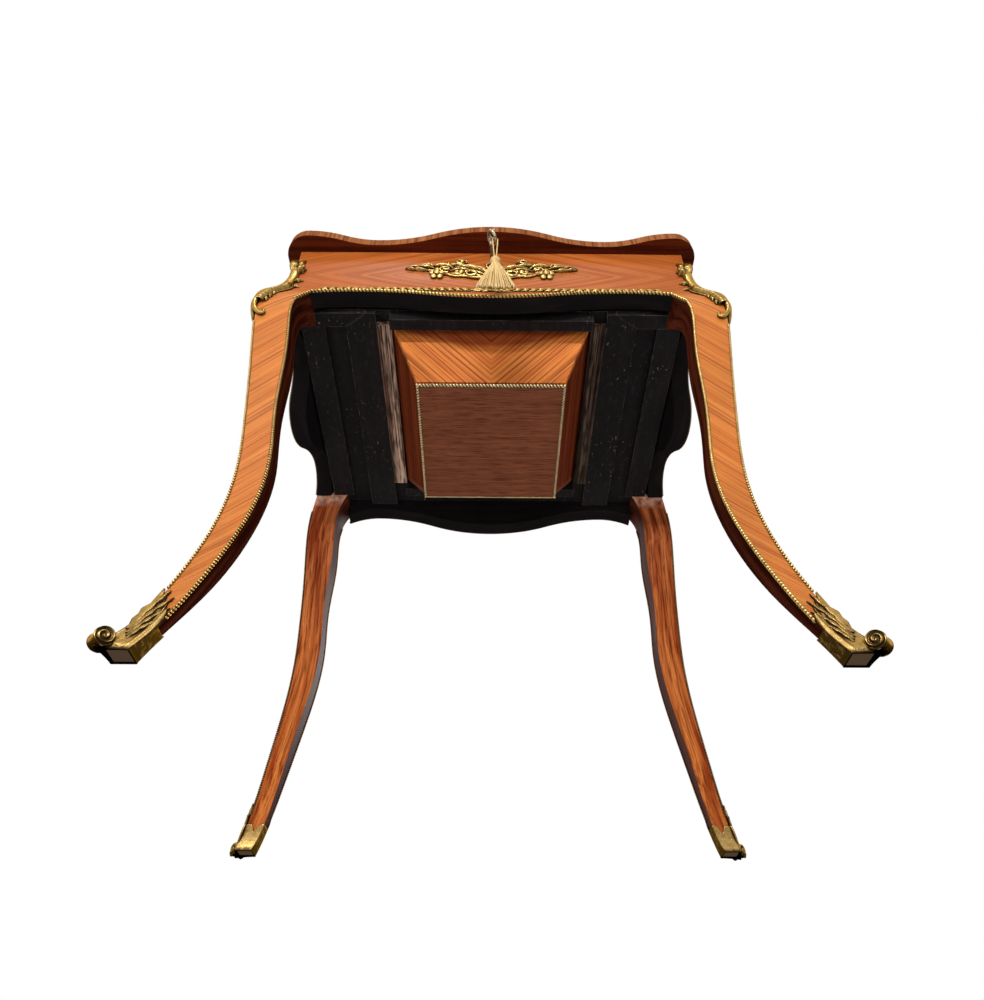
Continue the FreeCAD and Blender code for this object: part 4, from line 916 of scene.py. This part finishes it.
for side, shade in (("left", 1.0), ("right", 0.22)):
    tree, shader = new_material(f"bare_pine_{side}", DULL_WOOD)
    vector, _, _, place = place_on(tree, "YXZ")
    colours = [(*[part * shade for part in colour[:3]], 1) for colour in PINE_WOOD]
    pine = wood(tree, vector, (6, 460, 460), colours, 1.0)
    drawn = stretch(tree, vector, (30, 210, 210))
    stain = times(tree, noise(tree, drawn, 1.0, 6.0, 0.46, 0.62), 0.8)
    polish(tree, shader, mix(tree, stain, pine["Color"], colours[2]), pine["Depth"], place, 0.65, 0.0006)
    give(tree, f"well_rail_{side}")


# Well: a hanging box like a cut-off pyramid. Its front is veneered in a chevron, with the front apron's
# shadow painted in an arch at the top; the other walls and the bottom are plain dark wood.
CHEVRON_WOOD = ((0.92, 0.30, 0.06, 1), (0.76, 0.19, 0.035, 1), (0.22, 0.04, 0.01, 1))
CHEVRON_TURN = math.radians(-40)
APRON_SHADOW = (0.50, 0.36, 0.45, 1)
APRON_SHADOW_FOOT = 0.546
APRON_SHADOW_CURVE = 1.42
WELL_WOOD = ((0.29, 0.095, 0.048, 1), (0.225, 0.070, 0.035, 1), (0.045, 0.012, 0.006, 1))
WELL_SIDE_WOOD = ((0.29, 0.055, 0.018, 1), (0.13, 0.022, 0.007, 1), (0.045, 0.012, 0.006, 1))

tree, shader = new_material("chevron_veneer", {"Specular IOR Level": 0.1})
across, split, _, place = place_on(tree, "XZY")
chevron = place_group(tree, matched_grain, {"Vector": across, "Turn": CHEVRON_TURN})["Vector"]
veneer = wood(tree, chevron, (5, 430, 5), CHEVRON_WOOD, 0.85)
# Painted shadow of the front apron: darker above an arch that dips in the middle.
shadow_arch = calc(tree, "MULTIPLY_ADD", times(tree, split[0], split[0]), APRON_SHADOW_CURVE, APRON_SHADOW_FOOT)
in_apron_shadow = spread(tree, calc(tree, "SUBTRACT", split[2], shadow_arch), -0.001, 0.005)
colour = mix(tree, in_apron_shadow, veneer["Color"], APRON_SHADOW, "MULTIPLY")
polish(tree, shader, colour, veneer["Depth"], place, 0.5)
give(tree, "well_front")

for name, order, scale, colours, parts in (
        ("well_side_wood", "YZX", (8, 360, 360), WELL_SIDE_WOOD,
         ("well_left", "well_right", "partition_left", "partition_right")),
        ("well_bottom_wood", "XYZ", (34, 620, 620), WELL_WOOD, ("well_back", "well_bottom"))):
    tree, shader = new_material(name, {"Specular IOR Level": 0.02})
    vector, _, _, place = place_on(tree, order)
    plain = wood(tree, vector, scale, colours, 0.6)
    polish(tree, shader, plain["Color"], plain["Depth"], place, 0.55)
    give(tree, *parts)


# Bead round the well's bottom: a gilt rope moulding, pinned on edge. It is twisted like the ropes on
# the legs and is given the palest gilt, a brightened copy that is painted light.
WELL_PITCH = 0.0046
WELL_RADIUS = 0.0024
WELL_INSET = 0.0018
WELL_RISE = 0.0025

low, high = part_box("well_bead")
ring = [(x, y, low.z + WELL_RISE) for x, y in (
    (low.x + WELL_INSET, low.y + WELL_INSET), (high.x - WELL_INSET, low.y + WELL_INSET),
    (high.x - WELL_INSET, high.y - WELL_INSET), (low.x + WELL_INSET, high.y - WELL_INSET))]
edges = []
for first, second in zip(ring, ring[1:] + ring[:1]):
    line = [Vector(first).lerp(Vector(second), part) for part in steps(0, 1, 8)]
    edges.append(rope_along(line, WELL_PITCH, WELL_RADIUS))
finish_piece(join(edges), "well_rope", pale_gilt, "well_bead")


# Lock, hinges and key: a mortised iron lock with its bolt, link plate and turned key, and two brass butt
# hinges at the back, each with two leaves and a pin.
GRIME = (0.08, 0.06, 0.045, 1)
HINGES = [f"hinge_{piece}_{side}" for piece in ("case_leaf", "lid_leaf", "pin") for side in ("left", "right")]

for name, colour, parts in (
        ("worn_steel", (0.30, 0.28, 0.26, 1), ("lock_case", "lock_bolt", "link_plate", "key")),
        ("dull_brass", (0.55, 0.40, 0.18, 1), HINGES)):
    tree, shader = new_material(name, {"Metallic": 1.0})
    place = add(tree, "TexCoord", {}).outputs["Object"]
    rub = noise(tree, place, 220.0, 4.0, 0.35, 0.7)
    fill(tree, shader, {"Base Color": mix(tree, rub, colour, GRIME),
                        "Roughness": calc(tree, "MULTIPLY_ADD", rub, 0.25, 0.3)})
    give(tree, *parts)


# Key's bow: a cast ring with a ball at its top and scrolls inside, of pale rubbed metal, in one piece with
# the stem. It leans over, as the key does in its lock.
BOW_PALE = (0.66, 0.55, 0.38, 1)
BOW_DIRT = (0.07, 0.05, 0.03, 1)
BOW_RADIUS = 0.0095
BOW_THICK = 0.0022
BOW_PLACE = -0.248
BOW_LEAN = math.radians(-60)

tree, shader = new_material("pale_steel", {"Metallic": 1.0, "Roughness": 0.42})
place = add(tree, "TexCoord", {}).outputs["Object"]
rub = noise(tree, place, 400.0, 4.0, 0.4, 0.7)
fill(tree, shader, {"Base Color": mix(tree, rub, BOW_PALE, BOW_DIRT)})


def on_bow(out, beside, lift):
    """A point of the bow: out along the stem, beside it across the leaning bow."""
    x = beside * math.cos(BOW_LEAN) - lift * math.sin(BOW_LEAN)
    return (x, BOW_PLACE - out, KEY_HEIGHT + beside * math.sin(BOW_LEAN) + lift * math.cos(BOW_LEAN))


ring = [(on_bow(BOW_RADIUS * math.cos(angle), BOW_RADIUS * math.sin(angle), 0), BOW_THICK)
        for angle in steps(0, math.tau, 33)]
inside = [volute(on_bow, (-1.5, way * 3.6), 3.6, way * 90, way * 1.1, 1, 0) for way in (1, -1)]
bow = join([tubes([ring, *inside]), *flower(on_bow, (BOW_RADIUS / MM, 0), 6.2, 0)])
finish_piece(turn_out(bow), "key_bow", bpy.data.materials["pale_steel"], body="key")


# Tassel: a loop of silk cord over the key's bow, a head bound round a wooden ball and a skirt of loose
# threads, cream and gold. It hangs from the bow and fans out in front of the frieze.
SILK_PALE = (0.92, 0.67, 0.33, 1)
SILK_DEEP = (0.64, 0.41, 0.155, 1)
SILK_SHADE = (0.10, 0.045, 0.012, 1)
CORD_DIAMETER = 0.0018
CORD_TURN = 0.0036
CORD_FOOT = 0.0012
CORD_DROP = 0.060
HEAD_RADIUS = 0.0072
HEAD_RIDGES = 24
COLLAR_RADIUS = 0.0046
COLLAR_THICK = 0.0012
THREADS = 96
THREAD_RADIUS = 0.00075
CORE_TOP = 0.004
SKIRT_TOP = 0.0042

tree, shader = new_material("silk_thread", {"Roughness": 0.7, "Specular IOR Level": 0.0})
place = add(tree, "TexCoord", {}).outputs["Object"]
tone = noise(tree, stretch(tree, place, (900, 900, 60)), 1.0, 3.0, 0.32, 0.68)
near = add(tree, "AmbientOcclusion", {"Distance": 0.0025}, samples=8).outputs["AO"]
threads = mix(tree, tone, SILK_PALE, SILK_DEEP)
fill(tree, shader, {"Base Color": mix(tree, spread(tree, near, 0.75, 0.25), threads, SILK_SHADE)})
silk = bpy.data.materials["silk_thread"]

cord_low, cord_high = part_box("tassel_cord")
hang = Vector(((cord_low.x + cord_high.x) / 2, (cord_low.y + cord_high.y) / 2,
               cord_high.z - CORD_TURN - CORD_DIAMETER / 2))
route = [(-CORD_FOOT, -CORD_DROP), (-CORD_TURN, 0), (-CORD_TURN, CORD_TURN), (CORD_TURN, CORD_TURN),
         (CORD_TURN, 0), (CORD_FOOT, -CORD_DROP)]
cord = curve_along("tassel_loop", [[((hang.x + x, hang.y, hang.z + z), 1) for x, z in route]])
cord.data.bevel_depth = CORD_DIAMETER / 2
cord.data.bevel_resolution = 3
cord.data.materials.append(silk)
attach(cord, "tassel")
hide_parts("tassel_cord")

low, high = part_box("tassel_head")
middle = (low + high) / 2
bpy.ops.mesh.primitive_uv_sphere_add(segments=48, ring_count=20, radius=HEAD_RADIUS, location=middle)
head = bpy.context.object
bpy.ops.object.transform_apply()
for vertex in head.data.vertices:
    x, y, z = vertex.co - middle
    ridge = 1 + 0.035 * math.cos(HEAD_RIDGES * math.atan2(y, x))
    vertex.co = middle + Vector((x * ridge, y * ridge, z * 1.04))
bpy.ops.object.shade_smooth()
bpy.ops.mesh.primitive_torus_add(major_radius=COLLAR_RADIUS, minor_radius=COLLAR_THICK, major_segments=32,
                                 minor_segments=8, location=(middle.x, middle.y, low.z + COLLAR_THICK / 2))
bpy.ops.object.transform_apply()
bpy.ops.object.shade_smooth()
finish_piece(join([head, bpy.context.object]), "tassel_ball", silk, "tassel_head", "tassel")

low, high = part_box("tassel_skirt")
hem_x, hem_y = (high.x - low.x) / 2, (high.y - low.y) / 3
chance = random.Random(7)


def core(u, v):
    """A point of the plain body under the threads."""
    angle = math.tau * u
    part = v ** 0.85
    return (middle.x + (CORE_TOP + (hem_x * 0.86 - CORE_TOP) * part) * math.cos(angle),
            middle.y + (CORE_TOP + (hem_y * 0.72 - CORE_TOP) * part) * math.sin(angle),
            high.z + (low.z + 0.012 + 0.006 * math.sin(angle) - high.z) * v)


strands = []
for thread in range(THREADS):
    angle = math.tau * (thread + chance.random() * 0.6) / THREADS
    spread_x = hem_x * chance.uniform(0.86, 1.0)
    spread_y = hem_y * chance.uniform(0.75, 1.0)
    hem = low.z + chance.uniform(0, 0.006) + 0.005 * math.cos(angle) ** 2 + 0.005 * (1 + math.sin(angle))
    sway = chance.uniform(-0.0012, 0.0012)
    strand = []
    for part, bulge in ((0, 0), (0.25, 0.30), (0.6, 0.66), (1, 1)):
        x = middle.x + (SKIRT_TOP + (spread_x - SKIRT_TOP) * bulge) * math.cos(angle) + sway * part
        y = middle.y + (SKIRT_TOP + (spread_y - SKIRT_TOP) * bulge) * math.sin(angle)
        strand.append(((x, y, high.z + (hem - high.z) * part), THREAD_RADIUS))
    strands.append(strand)
skirt = join([tubes(strands, 3), formed_grid(48, 10, core)])
finish_piece(turn_out(skirt), "tassel_threads", silk, "tassel_skirt", "tassel")


# Lid: a serpentine board. Its top is quartered veneer, its edge is banded across the grain, and
# its underside is plain dark red wood.
LID_UNDER_WOOD = ((0.17, 0.032, 0.010, 1), (0.09, 0.015, 0.005, 1), (0.018, 0.004, 0.002, 1))
LID_EDGE_WOOD = ((0.46, 0.175, 0.062, 1), (0.31, 0.098, 0.032, 1), (0.09, 0.022, 0.008, 1))
LID_TURN = math.radians(35)
LID_LEVEL = 0.8

tree, shader = new_material("lid_veneer", POLISHED)
across, split, facing, place = place_on(tree, "XYZ")
matched = place_group(tree, matched_grain, {"Vector": across, "Turn": LID_TURN})["Vector"]
top = wood(tree, matched, (3, 170, 170), FRIEZE_WOOD, 0.5)
under = wood(tree, across, (3, 130, 130), LID_UNDER_WOOD, 0.6)
upright = combine(tree, split[2], split[0], split[1])
edge = wood(tree, upright, (10, 420, 420), LID_EDGE_WOOD, 0.6)
is_top = calc(tree, "GREATER_THAN", facing[2], LID_LEVEL)
is_under = calc(tree, "LESS_THAN", facing[2], -LID_LEVEL)
colour = mix(tree, is_under, mix(tree, is_top, edge["Color"], top["Color"]), under["Color"])
coat(tree, shader, is_top)
polish(tree, shader, colour, top["Depth"], place, 0.5)
give(tree, "lid")


# Stage: a pale floor that only shows from above, because the picture is taken from below it, with
# soft light from the front, from above and from behind, and a white background.
FLOOR_SIZE = 6
FLOOR_CLOSE = 0.006
AMBIENT = 0.10
CASE_MIDDLE = (0, 0, 0.55)
SENSOR = 36
PICTURE_PIXELS = 984
FOCAL_PIXELS = 700

bpy.ops.mesh.primitive_plane_add(size=FLOOR_SIZE)
floor = bpy.context.object
floor.name = "floor"
tree, shader = new_material("pale_floor", {"Base Color": (0.82, 0.81, 0.79, 1), "Roughness": 0.8})
rays = add(tree, "LightPath", {}).outputs
close = times(tree, rays["Is Diffuse Ray"], calc(tree, "LESS_THAN", rays["Ray Length"], FLOOR_CLOSE))
behind = calc(tree, "MAXIMUM", add(tree, "NewGeometry", {}).outputs["Backfacing"], close)
clear = add(tree, "BsdfTransparent", {}).outputs[0]
seen = add(tree, "MixShader", {0: behind, 1: shader.outputs[0], 2: clear}).outputs[0]
fill(tree, tree.nodes["Material Output"], {"Surface": seen})
floor.data.materials.append(bpy.data.materials["pale_floor"])
floor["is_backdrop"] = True

world = bpy.data.worlds.new("studio")
bpy.context.scene.world = world
world.use_nodes = True
tree = world.node_tree
rays = add(tree, "LightPath", {}).outputs
shown = calc(tree, "MAXIMUM", calc(tree, "MAXIMUM", rays["Is Camera Ray"], rays["Is Glossy Ray"]),
             rays["Is Transmission Ray"])
strength = calc(tree, "MAXIMUM", shown, AMBIENT)
fill(tree, tree.nodes["Background"], {"Color": (1, 1, 1, 1), "Strength": strength})

for name, place, wide, high, power in (
        ("high_lamp", (-0.15, -1.7, 2.6), 0.45, 0.45, 14), ("low_lamp", (-0.45, -2.6, 0.95), 1.6, 0.10, 46),
        ("top_lamp", (0.0, 0.4, 2.9), 1.4, 1.4, 34), ("back_lamp", (0.8, 2.4, 1.6), 1.2, 1.2, 25)):
    lamp = bpy.data.lights.new(name, "AREA")
    lamp.shape = "RECTANGLE"
    lamp.size = wide
    lamp.size_y = high
    lamp.energy = power
    holder = new_object(name, lamp)
    holder.location = place
    holder.rotation_euler = (Vector(CASE_MIDDLE) - Vector(place)).to_track_quat("-Z", "Y").to_euler()

camera = bpy.data.cameras.new("camera")
camera.sensor_fit = "HORIZONTAL"
camera.sensor_width = SENSOR
camera.lens = SENSOR * FOCAL_PIXELS / PICTURE_PIXELS
camera.clip_start = 0.01
holder = new_object("camera", camera)
holder.location = (-0.00344, -0.67139, -0.30633)
holder.rotation_euler = (math.radians(136.13), 0, math.radians(-0.49))
bpy.context.scene.camera = holder
bpy.context.scene.view_settings.view_transform = "Standard"

low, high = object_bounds()
{"cad": [list(cad_low), list(cad_high)], "visual": [list(low), list(high)]}
